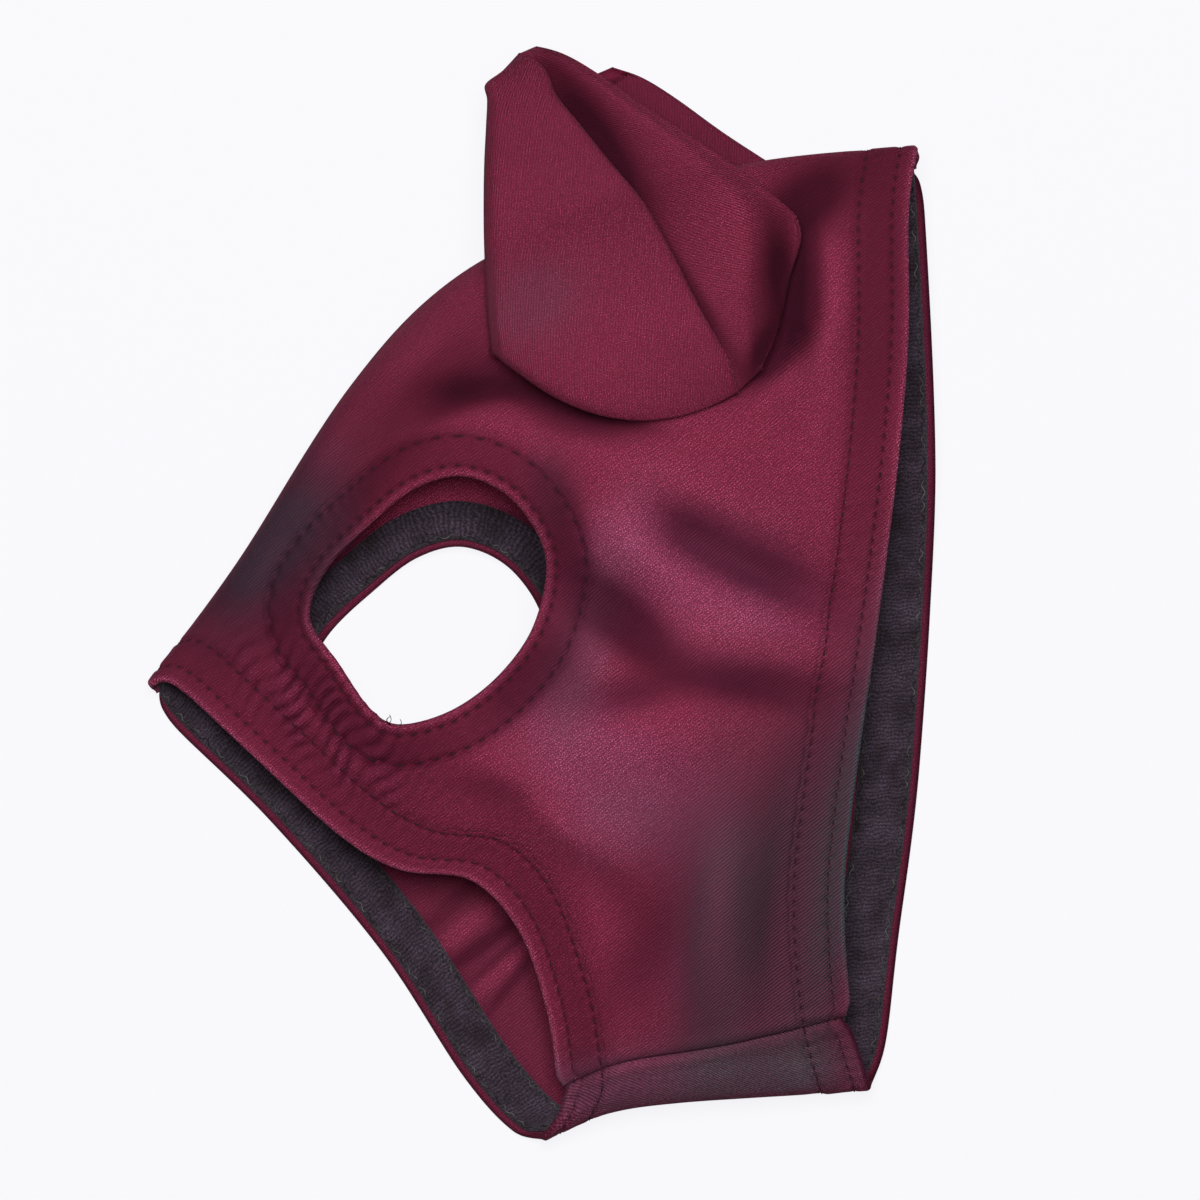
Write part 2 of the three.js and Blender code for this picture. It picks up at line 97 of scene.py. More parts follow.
# Heights of the body at stations from the nose opening to the neck opening: station, fold, dome
BODY_HEIGHTS = np.array([(0.0, 6.0, 18.0), (0.25, 7.5, 27.0), (0.6, 8.5, 31.0), (1.0, 7.5, 23.0)])

# Soft ridges and dents of the upper layer: x, y, turn in degrees, half length, half width, height
SOFT_FOLDS = [
    (48, 54, 68, 20, 6, 2.2),
    (36, 10, -23, 17, 7, -1.5),
    (16, -5, -25, 11, 7, -1.2),
    (31, -20, 8, 30, 9, 1.4),
    (4, -46, -35, 14, 6, 1.4),
    (-50, 12, 52, 14, 7, -1.2),
]

# Finer folds of the cloth, with the same columns
FINE_FOLDS = [
    (43.5, 3.4, -27, 17, 5.0, -3.0),
    (28, 11.4, -32, 8, 5.0, -1.6),
    (36, 17, -24, 18, 5.0, 1.4),
    (15, -4.6, -38, 12, 5.4, -3.0),
    (42, -17.6, -12, 16, 4.6, -2.8),
    (17, -20.4, 15, 11, 4.4, -1.8),
    (22, 7, -35, 11, 5.0, 1.6),
    (45, -4.5, -14, 15, 5.0, 1.6),
    (11, -12, 60, 8, 5.0, 1.2),
    (24, -29, 10, 18, 6.0, 1.2),
    (52.2, 62, 92, 11, 2.6, -2.8),
    (46.5, 60, 92, 14, 4.6, -4.0),
    (48.6, 50, 55, 8, 2.3, -2.4),
    (43.5, 49, 55, 9, 4.4, -4.0),
    (57.4, 57, 82, 18, 3.6, 1.8),
    (50.4, 43.6, 50, 9, 3.2, 1.4),
    (-4, 40.5, -38, 9, 3.0, -2.2),
    (9, 33.4, -14, 10, 2.8, -1.7),
    (-17, 39.5, 30, 10, 4.0, -2.2),
    (-26, 46, 40, 12, 4.5, 1.0),
    (-24, 33, 25, 9, 4.0, 0.8),
    (3, -45, -40, 9, 3.4, 1.2),
    (-8, -40, -10, 12, 4.0, -1.2),
    (10, -55, -50, 12, 4.5, -1.0),
    (-56, 4, 48, 8, 2.6, 1.0),
    (-50, -4, 40, 9, 3.0, -0.9),
    (-44, 27, 62, 9, 3.2, 0.9),
    (-38, 17, 55, 10, 3.2, -0.9),
    (60, 70, 80, 12, 4.0, -0.7),
    (20, -72, 62, 17, 6.0, -1.4),
    (34, -62, 80, 22, 6.0, 1.2),
    (46, -66, 84, 22, 5.0, -1.2),
]

# Gathered cloth of the strap between the nose opening and the eye
STRAP = {"x": -43.0, "y": -26.0, "turn": -43.0, "long": 19.0, "wide": 7.0, "pitch": 3.0, "height": 1.5}

# Places of painted light on the upper layer, each table with its tint below: painted smoky shade, painted
# haze, painted deeper shade, painted pale haze and painted shadows. Columns: x, y, turn, half length, half
# width, share
# Painted smoky shade: darker, greyer places where the light from beneath is blocked, under a painted veil of
# glare
PAINTED_SMOKY_SHADE = [
    (-54, 9, 50, 18, 9, 0.9),
    (-42, 4, 75, 12, 4, 0.5),
    (35, -67, 87, 30, 8, 0.72),
    (49, -64, 85, 32, 9, 0.72),
    (52, -40, 75, 18, 8, 0.5),
    (61, -48, 81, 36, 6, 0.93),
    (32, -95, 6, 44, 8, 0.25),
    (2, 20, 100, 8, 4, 0.4),
]
# Painted haze, a pale veil of glare over the cloth
PAINTED_HAZE = [
    (7, -13, 75, 13, 6, 0.8),
    (61, -45, 81, 42, 6, 1.0),
    (38, -66, 86, 28, 12, 0.5),
    (16, -46, 0, 10, 8, 0.35),
    (-52, 10, 50, 18, 8, 0.75),
    (30, -97, 6, 44, 7, 0.5),
]
# Painted deeper shade, on slopes and folds that turn away from the light
PAINTED_DEEP_SHADE = [
    (-23, 38, 54, 20, 6, 0.7),
    (-60, -6, 45, 16, 8, 0.4),
    (-39, 31, 54, 16, 6, 0.35),
    (66, 58, 86, 34, 5, 0.6),
    (18, -7, -38, 12, 5, 0.6),
    (24, -48, 75, 14, 6, 0.4),
    (-42, -27, -43, 26, 10, 0.45),
    (6, 12, 100, 11, 4, 0.6),
    (-2, -17, 42, 11, 5, 0.75),
]
# Painted pale haze where the top of the cloth catches the most light
PAINTED_PALE_HAZE = [
    (33, 1, -20, 18, 12, 0.8),
    (14, -36, -35, 20, 10, 1.0),
    (15, 12, 60, 12, 6, 0.6),
    (30, -98, 6, 40, 6, 1.0),
]
SHADE = [
    (-12, 40.2, 0, 10, 3.0, 0.8),
    (4, 37.6, -22, 10, 2.4, 0.9),
    (14, 34.2, -12, 8, 1.5, 0.8),
    (52, 77, 40, 12, 6, 0.9),
    (50.5, 60, 94, 13, 3.2, 0.9),
]
# Places of painted shade in creases and of painted glow, light from the table shining through the cloth, on
# the lower layer where the openings show its inside, with the same columns
FAR_PAINTED_SHADE = [
    (-12.5, -70.6, 35, 9, 1.5, 0.9),
    (-18.5, -62.4, 44, 8, 1.8, 0.5),
    (-6.4, -78.0, 52, 8, 1.1, 0.7),
    (-9.6, -73.6, 42, 7, 0.8, 0.5),
]
FAR_PAINTED_GLOW = [
    (-20, 21, 8, 22, 6, 1.0),
    (-15.5, -66.8, 40, 9, 1.8, 0.4),
    (-9.0, -76.0, 42, 9, 1.6, 0.4),
]
# tint of the painted shade
PAINTED_SHADE_TINT = np.array([0.5, 0.5, 0.55])
SHADE_TINT = np.array([0.2, 0.22, 0.28])
PAINTED_HAZE_TINT = np.array([0.85, 1.9, 1.45])
# Tables of painted light on the upper layer and their tints
NEAR_PAINTED_LIGHT = [
    (PAINTED_SMOKY_SHADE, np.array([0.29, 1.35, 0.95])),
    (PAINTED_HAZE, PAINTED_HAZE_TINT),
    (PAINTED_DEEP_SHADE, PAINTED_SHADE_TINT),
    (PAINTED_PALE_HAZE, np.array([1.3, 2.0, 1.8])),
    (SHADE, SHADE_TINT),
]
# Painted shade and painted glow of the lower layer's inside, with their tints
FAR_PAINTED_LIGHT = [(FAR_PAINTED_SHADE, PAINTED_SHADE_TINT), (FAR_PAINTED_GLOW, np.array([1.9, 1.5, 1.6]))]
DEEPEST = {"fold": 2.6, "gather": 0.5}  # heights of folds and gathers at which their painted shade and painted highlight are full
HOLLOW_SHADE_TINT = np.array([0.42, 0.48, 0.55])  # painted shade at the bottom of a fold
CREST_HIGHLIGHT_TINT = np.array([1.22, 1.4, 1.38])  # painted highlight on the top of a fold
TAPE_SHADE_TINT = np.array([0.55, 0.53, 0.6])  # painted shade where the black tape behind the cloth blocks the light from beneath
EDGE_HIGHLIGHT_TINT = np.array([1.5, 2.1, 1.9])  # painted highlight along the rolled edge of a hem
STITCH_SHADE_TINT = np.array([0.3, 0.3, 0.34])  # painted shade in the groove of a row of stitches
WRONG_SIDE_AND_SHADE_TINT = np.array([0.72, 0.9, 0.86])  # the wrong side of the knit, darker partly as painted shade inside the mask
EAR_TINT = np.array([0.91, 0.93, 0.93])
# painted shade over the lower ear, beside the upper ear's lobe
FAR_EAR_SHADE_TINT = np.array([0.7, 0.7, 0.75])
EAR_SHADE = [
    (11.4, 88.4, -57, 18, 4.4, 1.0),
    (28, 61, -59, 18, 1.6, 0.8),
    (47.5, 60, 98, 12, 3.2, 0.95),
    (45, 49, 55, 8, 3.0, 0.8),
]
# Painted haze on the ear's flap
EAR_PAINTED_HAZE = [(-1, 57, 30, 9, 7, 0.6)]

# Directions of the knit's lines in plan, in degrees
PANEL_LINES, FLAP_LINES, LOBE_LINES = 40.0, 88.0, -25.0

# Sections of an ear from base to tip: left side, fold and right side in plan, and the bottom edge's sag
EAR_SECTIONS = [
    ((-9.6, 47.0), (38.6, 39.4), (43.0, 43.6), 9.2),
    ((-10.4, 53.0), (36.1, 45.7), (46.4, 51.0), 5.5),
    ((-10.8, 60.0), (30.6, 54.8), (48.6, 61.0), 2.8),
    ((-11.2, 69.0), (24.6, 66.4), (51.2, 71.6), 1.0),
    ((-11.3, 77.5), (19.0, 76.6), (45.4, 78.2), 0.0),
    ((-11.2, 85.0), (12.4, 84.8), (33.6, 87.0), 0.0),
    ((-10.9, 92.0), (6.4, 92.4), (21.2, 95.2), 0.0),
    ((-10.7, 97.4), (2.0, 98.0), (11.2, 102.4), 0.0),
    ((-11.1, 100.6), (-0.3, 103.2), (4.6, 106.4), 0.0),
    ((-8.0, 103.2), (-4.6, 107.0), (-1.2, 108.4), 0.0),
]
# Heights of these sections: the flap's shoulder and crest, the lobe's pit, crown and rim, the crown's place
EAR_HEIGHTS = [
    (4.6, 0.9, 0.4, 0.8, 0.2, 0.5),
    (7.4, 5.0, 2.8, 4.4, -1.6, 0.5),
    (8.4, 8.8, 4.8, 7.0, -2.0, 0.55),
    (8.8, 9.8, 4.2, 7.8, -0.6, 0.62),
    (8.6, 10.0, 2.6, 8.2, 4.2, 0.72),
    (8.2, 9.8, 1.4, 8.4, 6.4, 0.82),
    (7.6, 9.2, 0.8, 8.2, 6.8, 0.86),
    (6.6, 8.2, 0.6, 7.4, 6.4, 0.86),
    (5.0, 6.6, 0.8, 6.2, 5.2, 0.86),
    (2.6, 3.6, 1.6, 3.6, 3.0, 0.8),
]


# Curves and small functions
def smooth(low, high, value):
    share = np.clip((value - low) / (high - low), 0.0, 1.0)
    return share * share * (3.0 - 2.0 * share)


def mix(a, b, share):
    return a + (b - a) * share


def bell(value, width):
    return np.exp(-((value / width) ** 2))


def unit(vectors):
    return vectors / np.maximum(np.linalg.norm(vectors, axis=-1, keepdims=True), 1e-9)


def runs(grid, axis):
    """Lengths along the lines of a grid of points, from their first points."""
    steps = np.linalg.norm(np.diff(grid, axis=axis), axis=-1)
    return np.concatenate([np.zeros_like(steps.take([0], axis)), np.cumsum(steps, axis)], axis)


def across_along(x, y, degrees):
    """Places across and along lines that run at an angle over the plan."""
    turn = math.radians(degrees)
    return y * math.cos(turn) - x * math.sin(turn), x * math.cos(turn) + y * math.sin(turn)


def turned(xy, degrees):
    return np.stack(across_along(xy[..., 0], xy[..., 1], degrees), -1)


def both_sides(places):
    """Texture places of a cloth's right side and its wrong side."""
    return np.tile(places.reshape(-1, 2), (2, 1))


def patch(x, y, row):
    """A soft oval place in plan, 1 in its middle: x, y, turn, half length, half width of a table's row."""
    across, along = across_along(x - row[0], y - row[1], row[2])
    return np.exp(-((along / row[3]) ** 2) - (across / row[4]) ** 2)


def hermite(t, ends, slopes):
    """A smooth curve from one end to the other with a slope at each, at t from 0 to 1."""
    start = (2 * t**3 - 3 * t**2 + 1) * ends[0] + (t**3 - 2 * t**2 + t) * slopes[0]
    return start + (3 * t**2 - 2 * t**3) * ends[1] + (t**3 - t**2) * slopes[1]


class Path:
    """A smooth curve through points, measured by its own length from 0 to 1."""

    def __init__(self, points, closed=False, per_span=48):
        p = np.array(points, float)
        if closed:
            p = np.vstack([p, p[:1]])
        before, after = (p[-2:-1], p[1:2]) if closed else (p[:1], p[-1:])
        slope = (np.vstack([p[1:], after]) - np.vstack([before, p[:-1]])) / 2
        t = np.linspace(0, 1, per_span, endpoint=False)[:, None]
        spans = [hermite(t, p[i : i + 2], slope[i : i + 2]) for i in range(len(p) - 1)]
        self.points = np.vstack([*spans, p[-1:]])
        steps = np.linalg.norm(np.diff(self.points, axis=0), axis=1)
        self.length = float(steps.sum())
        self.shares = np.concatenate([[0.0], np.cumsum(steps)]) / self.length

    def __call__(self, share):
        columns = [np.interp(share, self.shares, column) for column in self.points.T]
        return np.stack(columns, -1)

    def normal(self, share, step=2e-3):
        """The direction to the left of the curve, of a closed curve in plan."""
        ahead = unit(self((share + step) % 1.0) - self((share - step) % 1.0))
        return np.stack([-ahead[..., 1], ahead[..., 0]], -1)


FOREHEAD_CURVE, THROAT_CURVE = Path(FOREHEAD_FOLD), Path(THROAT_FOLD)
UPPER = (Path(UPPER_NOSE_EDGE), Path(UPPER_NECK_EDGE))
LOWER = (Path(LOWER_NOSE_EDGE), Path(LOWER_NECK_EDGE))
CORNERS = [np.array(p) for p in (BRIDGE, POLL, CHIN, THROAT)]


# The body's surface: along from the nose (0) to the neck (1), around by angle from the forehead fold
def plan_point(layer, along, down):
    nose, neck = layer
    a, d = along[..., None], down[..., None]
    edges = mix(nose(down), neck(down), a)
    folds = mix(FOREHEAD_CURVE(along), THROAT_CURVE(along), d)
    bridge, poll, chin, throat = CORNERS
    return edges + folds - mix(mix(bridge, poll, a), mix(chin, throat, a), d)


def height_value(column, along):
    stations = BODY_HEIGHTS[:, 0]
    after = np.clip(np.searchsorted(stations, along), 1, len(stations) - 1)
    share = smooth(stations[after - 1], stations[after], along)
    return mix(BODY_HEIGHTS[after - 1, column], BODY_HEIGHTS[after, column], share)


def fold_heights(table, x, y):
    return sum(row[5] * patch(x, y, row) for row in table)


def body_point(along, around):
    up = np.sin(around)
    down = (1 - np.cos(around)) / 2
    plan = np.where((up >= 0)[..., None], plan_point(UPPER, along, down), plan_point(LOWER, along, down))
    x, y = plan[..., 0], plan[..., 1]
    fold, dome = height_value(1, along), height_value(2, along)
    lift = EAR_STACK["height"] * smooth(EAR_STACK["from"], EAR_STACK["to"], y)
    low = fold * np.maximum(0.0, 1 + np.minimum(up, 0) / FLAT_SHARE) ** ROLL_POWER
    high = fold + (dome - fold + fold_heights(SOFT_FOLDS, x, y)) * np.maximum(up, 0)
    return np.stack([x, y, lift + np.where(up >= 0, high, low)], -1)


def body_normal(along, around):
    step = 1e-3
    a = np.clip(along, step, 1 - step)
    on_along = body_point(a + step, around) - body_point(a - step, around)
    on_around = body_point(a, around + step) - body_point(a, around - step)
    return unit(np.cross(on_around, on_along))


def find_on_body(xy, upper):
    """Station and angle of the points of a layer that lie at xy in plan, and how far off they are."""
    layer = UPPER if upper else LOWER
    along = np.full(xy.shape[:-1], 0.5)
    down = np.full(xy.shape[:-1], 0.5)
    step = 1e-3
    for _ in range(14):
        here = plan_point(layer, along, down)
        by_along = (plan_point(layer, along + step, down) - here) / step
        by_down = (plan_point(layer, along, down + step) - here) / step
        miss = xy - here
        area = by_along[..., 0] * by_down[..., 1] - by_along[..., 1] * by_down[..., 0]
        along = along + (miss[..., 0] * by_down[..., 1] - miss[..., 1] * by_down[..., 0]) / area
        down = down + (by_along[..., 0] * miss[..., 1] - by_along[..., 1] * miss[..., 0]) / area
        along, down = np.clip(along, 0, 0.999), np.clip(down, 0, 0.999)
    miss = np.linalg.norm(plan_point(layer, along, down) - xy, axis=-1)
    angle = np.arccos(1 - 2 * down)
    return along, angle if upper else 2 * math.pi - angle, miss


# The hemmed edges, measured along themselves and from them
ROUND = np.linspace(0, 2 * math.pi, 2400)
THREAD_INSET = 0.9  # rows of the thread that holds a tape, from the tape's sides


class Opening:
    """A hemmed opening at one end of the body: the nose's (end 0) or the neck's (end 1)."""

    ring = False

    def __init__(self, end, hem):
        self.end, self.hem = end, hem
        step = 0.02
        line = body_point(np.full(ROUND.shape, float(end)), ROUND)
        inner = body_point(np.full(ROUND.shape, step if end == 0 else 1 - step), ROUND)
        self.reach = np.linalg.norm(inner - line, axis=-1) / step
        self.arcs = runs(line, 0)
        self.length = float(self.arcs[-1])
        self.tape_columns, self.tape_flip = int(self.length / TAPE["step"]), end == 1
        rows = (TAPE["from"] + THREAD_INSET, hem["tape_to"] - THREAD_INSET)
        self.thread_rows = [(row, row) for row in rows]

    def along(self, distance, around):
        share = distance / np.interp(around % (2 * math.pi), ROUND, self.reach)
        return share if self.end == 0 else 1 - share

    def distance(self, along, around):
        share = along if self.end == 0 else 1 - along
        return share * np.interp(around % (2 * math.pi), ROUND, self.reach)

    def arc(self, around):
        turns = np.floor(around / (2 * math.pi))
        return np.interp(around - turns * 2 * math.pi, ROUND, self.arcs) + turns * self.length

    def around(self, arc):
        return np.interp(arc % self.length, self.arcs, ROUND)

    def place(self, distance, arc):
        """Stations and angles at distances from the edge and places along it."""
        around = self.around(arc)
        return self.along(distance, around), around


class EyeHole:
    """A hemmed eye hole of the upper or the lower layer."""

    ring = True
    hem = EYE_HEM
    columns, tape_columns = 380, 480
    thread_rows = [(TAPE["from"] + 1.0, 1.0)]

    def __init__(self, upper):
        self.upper, self.tape_flip = upper, not upper
        self.outline = Path(np.array(EYE_HOLE) + (0.0 if upper else LOWER_EYE_SHIFT), closed=True)
        self.length = self.outline.length

    def place(self, distance, arc):
        share = (arc / self.length) % 1.0
        xy = self.outline(share) + self.outline.normal(share) * distance[..., None]
        return find_on_body(xy, self.upper)[:2]


NOSE, NECK = Opening(0, NOSE_HEM), Opening(1, NECK_HEM)
EYES = {upper: EyeHole(upper) for upper in (True, False)}


# Relief of the cloth over the body's surface
def edge_roll(distance):
    """Drop of the outer face towards a rolled edge."""
    r = HEM_ROLL["radius"]
    d = np.clip(distance, 0, r)
    return np.sqrt(np.maximum(0.0, r * r - (r - d) ** 2)) - r


HEM_RISE = 0.16
GROOVE = {"width": 0.5, "depth": 0.18, "hole": 0.36}  # a row of stitches sinks in, most at its holes
# Painted shade in the stitch grooves: its width, its share all along a row and more at each hole
STITCH_SHADE = {"width": 0.38, "line": 0.1, "dash": 0.75}
# Puckers beside a row of stitches: distance from it, width, height and pitch
PUCKERS = [(1.4, 1.3, 0.08, 2 * STITCH_PITCH), (-1.4, 1.1, 0.06, STITCH_PITCH)]


def ripple(arc, pitch, seed):
    """An uneven ripple along a line, from -1 to 1."""
    wander = 0.9 * np.sin(arc / 7.3 + seed) + 0.6 * np.sin(arc / 3.1 + 2 * seed)
    return np.sin(2 * math.pi * arc / pitch + wander)


def past_rows(hem, distance, low, high):
    """A rise from 0 to 1 between two distances past a hem's second stitch row."""
    return smooth(hem["rows"][1] + low, hem["rows"][1] + high, distance)


def hem_lift(hem, distance, arc):
    """Height of a hem's outer face: a raised double layer with stitch grooves and puckers."""
    hole = 0.5 + 0.5 * np.cos(2 * math.pi * arc / STITCH_PITCH)
    lift = HEM_RISE * smooth(0.1, 0.9, distance) * (1 - past_rows(hem, distance, -0.8, 0.8))
    for number, row in enumerate(hem["rows"]):
        seed = hem["seed"] + number
        depth = GROOVE["depth"] + GROOVE["hole"] * hole**2
        lift = lift - bell(distance - row, GROOVE["width"]) * depth
        for side, width, height, pitch in PUCKERS:
            lift = lift + height * bell(distance - row - side, width) * ripple(arc, pitch, seed)
    return lift


def hem_dive(hem, distance):
    """How far a hem's outer side dives under the panel past its second stitch row."""
    return 0.5 * past_rows(hem, distance, 1.0, 1.7) - 0.03


def panel_tuck(hem, distance):
    """How far the panel dips under a hem about the hem's second stitch row."""
    return 0.45 * (1 - past_rows(hem, distance, 0.2, 1.1))


def hem_shade(hem, distance):
    """Share of the painted shade from the tape behind a hem, fading past its second stitch row."""
    return hem["dark"] * (1 - past_rows(hem, distance, -0.2, 2.5))


def stitch_shade(hem, distance, arc):
    """Painted shade in the grooves of the stitch rows, most at the holes, from 0 to 1."""
    dash = 0.5 - 0.5 * np.cos(2 * math.pi * arc / STITCH_PITCH)
    strength = STITCH_SHADE["line"] + STITCH_SHADE["dash"] * dash**2
    return sum(bell(distance - row, STITCH_SHADE["width"]) * strength for row in hem["rows"])


def gathers(x, y):
    """Small pillows of cloth between narrow creases across the strap."""
    row = (STRAP["x"], STRAP["y"], STRAP["turn"], STRAP["long"], STRAP["wide"])
    side, run = across_along(x - STRAP["x"], y - STRAP["y"], STRAP["turn"])
    wander = 0.8 * np.sin(run / 4.3 + 0.9) + 0.9 * np.sin(side / 1.9 + run / 5.3)
    pillow = np.abs(np.sin(math.pi * run / STRAP["pitch"] + wander)) ** 0.7
    uneven = 0.65 + 0.35 * np.sin(run / 2.1 + side / 1.7)
    return STRAP["height"] * uneven * np.minimum(1.0, 1.6 * patch(x, y, row)) * (pillow - 0.6)


def relief(bare, around):
    """Folds and gathers of the upper layer."""
    x, y = bare[..., 0], bare[..., 1]
    return (fold_heights(FINE_FOLDS, x, y) + gathers(x, y)) * smooth(0.0, 0.3, np.sin(around))


def surface(along, around):
    """Points of the bare body, the directions outwards there and the heights of the cloth's folds."""
    bare = body_point(along, around)
    return bare, body_normal(along, around), relief(bare, around)


def raised(bare, normal, lift, low=-math.inf):
    """Points at heights over the body's surface, pressed flat where they would go under a level."""
    points = bare + normal * lift[..., None]
    points[..., 2] = np.maximum(points[..., 2], low)
    return points


def tinted(tint, tone, share):
    return tint * mix(1.0, tone, np.asarray(share)[..., None])


def toned(tint, plan, layers):
    """Tints with the tones of tables of places: each layer is a table, its tone and where it holds."""
    for table, tone, where in layers:
        for row in table:
            share = np.minimum(1.0, 1.4 * patch(plan[..., 0], plan[..., 1], row))
            tint = tinted(tint, tone, row[5] * share * where)
    return tint


def two_sided(tint):
    """Tints of a cloth's right side and of its wrong side, which carries painted shade."""
    tint = tint.reshape(-1, 3)
    return np.concatenate([tint, tint * WRONG_SIDE_AND_SHADE_TINT])


def painted_light_and_tone_at(bare, around, tape_shade, edge_highlight=0.0, groove_shade=0.0):
    """Tints of the cloth, nearly all painted light: painted shade, haze and highlights of its places and
    folds, painted shade from the tape behind it and in its stitch grooves, painted highlights on its rolled
    edges, and the darker wrong side.
    """
    x, y = bare[..., 0], bare[..., 1]
    upper = smooth(0.0, 0.2, np.sin(around))
    # painted shade in the hollows of folds and gathers, painted highlights on their crests
    folds = (fold_heights(FINE_FOLDS, x, y) / DEEPEST["fold"] + gathers(x, y) / DEEPEST["gather"]) * upper
    tint = np.ones((*x.shape, 3))
    for tone, share in (
        (TAPE_SHADE_TINT, tape_shade),
        (EDGE_HIGHLIGHT_TINT, edge_highlight),
        (STITCH_SHADE_TINT, groove_shade),
        (HOLLOW_SHADE_TINT, np.clip(-folds, 0, 1)),
        (CREST_HIGHLIGHT_TINT, np.clip(folds, 0, 1)),
    ):
        tint = tinted(tint, tone, share)
    near = [(*tone, upper) for tone in NEAR_PAINTED_LIGHT]
    far = [(*tone, 1 - upper) for tone in FAR_PAINTED_LIGHT]
    return two_sided(toned(tint, bare, near + far))


# Meshes
def shell(outer, inner, keep=None, wrap=False, flip=False):
    """Points and faces of a closed slab between two skins over a grid of rows and columns."""
    rows, columns = outer.shape[:2]
    count = rows * columns
    index = np.arange(count).reshape(rows, columns)
    if wrap:
        index = np.hstack([index, index[:, :1]])
    cells = np.stack([index[:-1, :-1], index[:-1, 1:], index[1:, 1:], index[1:, :-1]], -1).reshape(-1, 4)
    if keep is not None:
        cells = cells[keep.ravel()]
    if flip:
        cells = cells[:, ::-1]
    sides = np.concatenate([cells[:, [i, (i + 1) % 4]] for i in range(4)])
    lone = ~np.isin(sides[:, 0] * count + sides[:, 1], sides[:, 1] * count + sides[:, 0])
    rim = sides[lone]
    walls = np.stack([rim[:, 1], rim[:, 0], rim[:, 0] + count, rim[:, 1] + count], -1)
    faces = np.concatenate([cells, cells[:, ::-1] + count, walls])
    points = np.concatenate([outer.reshape(-1, 3), inner.reshape(-1, 3)])
    return points, faces


def joined(parts):
    """Several sets of points, faces, texture places and tints as one."""
    starts = np.cumsum([0] + [len(part[0]) for part in parts])
    faces = np.concatenate([part[1] + start for part, start in zip(parts, starts)])
    points, places, tints = (np.concatenate([part[i] for part in parts]) for i in (0, 2, 3))
    return points, faces, places, tints


def add_object(name, data):
    made = bpy.data.objects.new(name, data)
    bpy.context.scene.collection.objects.link(made)
    return made


def make_object(name, points, faces, places, tints, material):
    used, inverse = np.unique(faces, return_inverse=True)
    mesh = bpy.data.meshes.new(name)
    mesh.from_pydata(((points[used] + PLACE) * MM).tolist(), [], inverse.reshape(faces.shape).tolist())
    mesh.polygons.foreach_set("use_smooth", np.ones(len(mesh.polygons), bool))
    layer = mesh.uv_layers.new(name="cloth")
    corners = np.zeros(len(mesh.loops), np.int32)
    mesh.loops.foreach_get("vertex_index", corners)
    layer.data.foreach_set("uv", (places[used] * UV_UNIT)[corners].astype(np.float32).ravel())
    # per-point colours of painted shade, haze, highlights and glow, with the wrong side's tone
    painted_light_and_tone = mesh.color_attributes.new("painted_light_and_tone", "FLOAT_COLOR", "POINT")
    solid = np.concatenate([tints[used], np.ones((len(used), 1))], 1)
    painted_light_and_tone.data.foreach_set("color", solid.astype(np.float32).ravel())
    mesh.materials.append(material)
    mesh.update()
    return add_object(name, mesh)


def tubes(lines, radius):
    """Points, faces, places and tints of round threads along lines, an array of lines by points by 3."""
    (count, steps), sides = lines.shape[:2], 6
    ahead = unit(np.gradient(lines, axis=1))
    side = unit(np.cross(ahead, np.array([0.13, 0.21, 0.97])))
    top = np.cross(side, ahead)
    angles = np.linspace(0, 2 * math.pi, sides, endpoint=False)
    spokes = side[:, :, None] * np.cos(angles)[:, None] + top[:, :, None] * np.sin(angles)[:, None]
    points = (lines[:, :, None] + spokes * radius).reshape(-1, 3)
    index = np.arange(count * steps * sides).reshape(count, steps, sides)
    beside = np.roll(index, -1, axis=2)
    walls = np.stack([index[:, :-1], beside[:, :-1], beside[:, 1:], index[:, 1:]], -1).reshape(-1, 4)
    caps = []
    for ring, way in ((index[:, 0], -1), (index[:, -1], 1)):
        for i in range(sides // 2 - 1):
            corners = [ring[:, place] for place in (i, 1 + i, -2 - i, -1 - i)]
            caps.append(np.stack(corners, -1)[:, ::way])
    faces = np.concatenate([walls, *caps])
    return points, faces, np.zeros((len(points), 2)), np.ones((len(points), 3))


# Panels
PANEL_COLUMNS = 270
PANEL_ROWS = 70
HEM_OVERLAP = np.array([-0.6, 0.0, 0.3, 0.7, 1.1, 1.9])  # rows of the panel about a hem's second stitch row
HEM_STEP = 0.5  # width of a hem's facets along its edge
HEM_ROWS = 26
PANEL_INSIDE, HEM_INSIDE = 0.5, 0.4  # the least heights of the inner faces over the table
FAR_OFF = 99.0  # distance from an eye hole on the other layer
SEAM_DIP = {"depth": 0.55, "width": 0.7}
SEAM_ROLL = {"height": 0.14, "at": 2.0, "width": 1.2}


def panel_angle(upper, along, share):
    """The angle round the body at a share of the way over a panel, from seam to seam."""
    throat = THROAT_SEAM["at"] + THROAT_SEAM["sag"] * np.sin(math.pi * along)
    return mix(TOP_SEAM, throat, share) if upper else mix(throat, 2 * math.pi + TOP_SEAM, share)


def even_shares(upper):
    """Shares of a panel's angle for columns that lie evenly over its width, and closer at the strap."""
    samples = 900
    shares = np.linspace(0, 1, samples)
    angles = panel_angle(upper, 0.5, shares)
    line = body_point(np.full(samples, 0.5), angles)
    _, strap, _ = find_on_body(np.array([STRAP["x"], STRAP["y"]]), True)
    weight = 1 + 1.5 * bell(angles - strap, 0.3)
    steps = np.linalg.norm(np.diff(line, axis=0), axis=1) * weight[1:]
    arcs = np.concatenate([[0.0], np.cumsum(steps)])
    return np.interp(np.linspace(0, arcs[-1], PANEL_COLUMNS), arcs, shares)


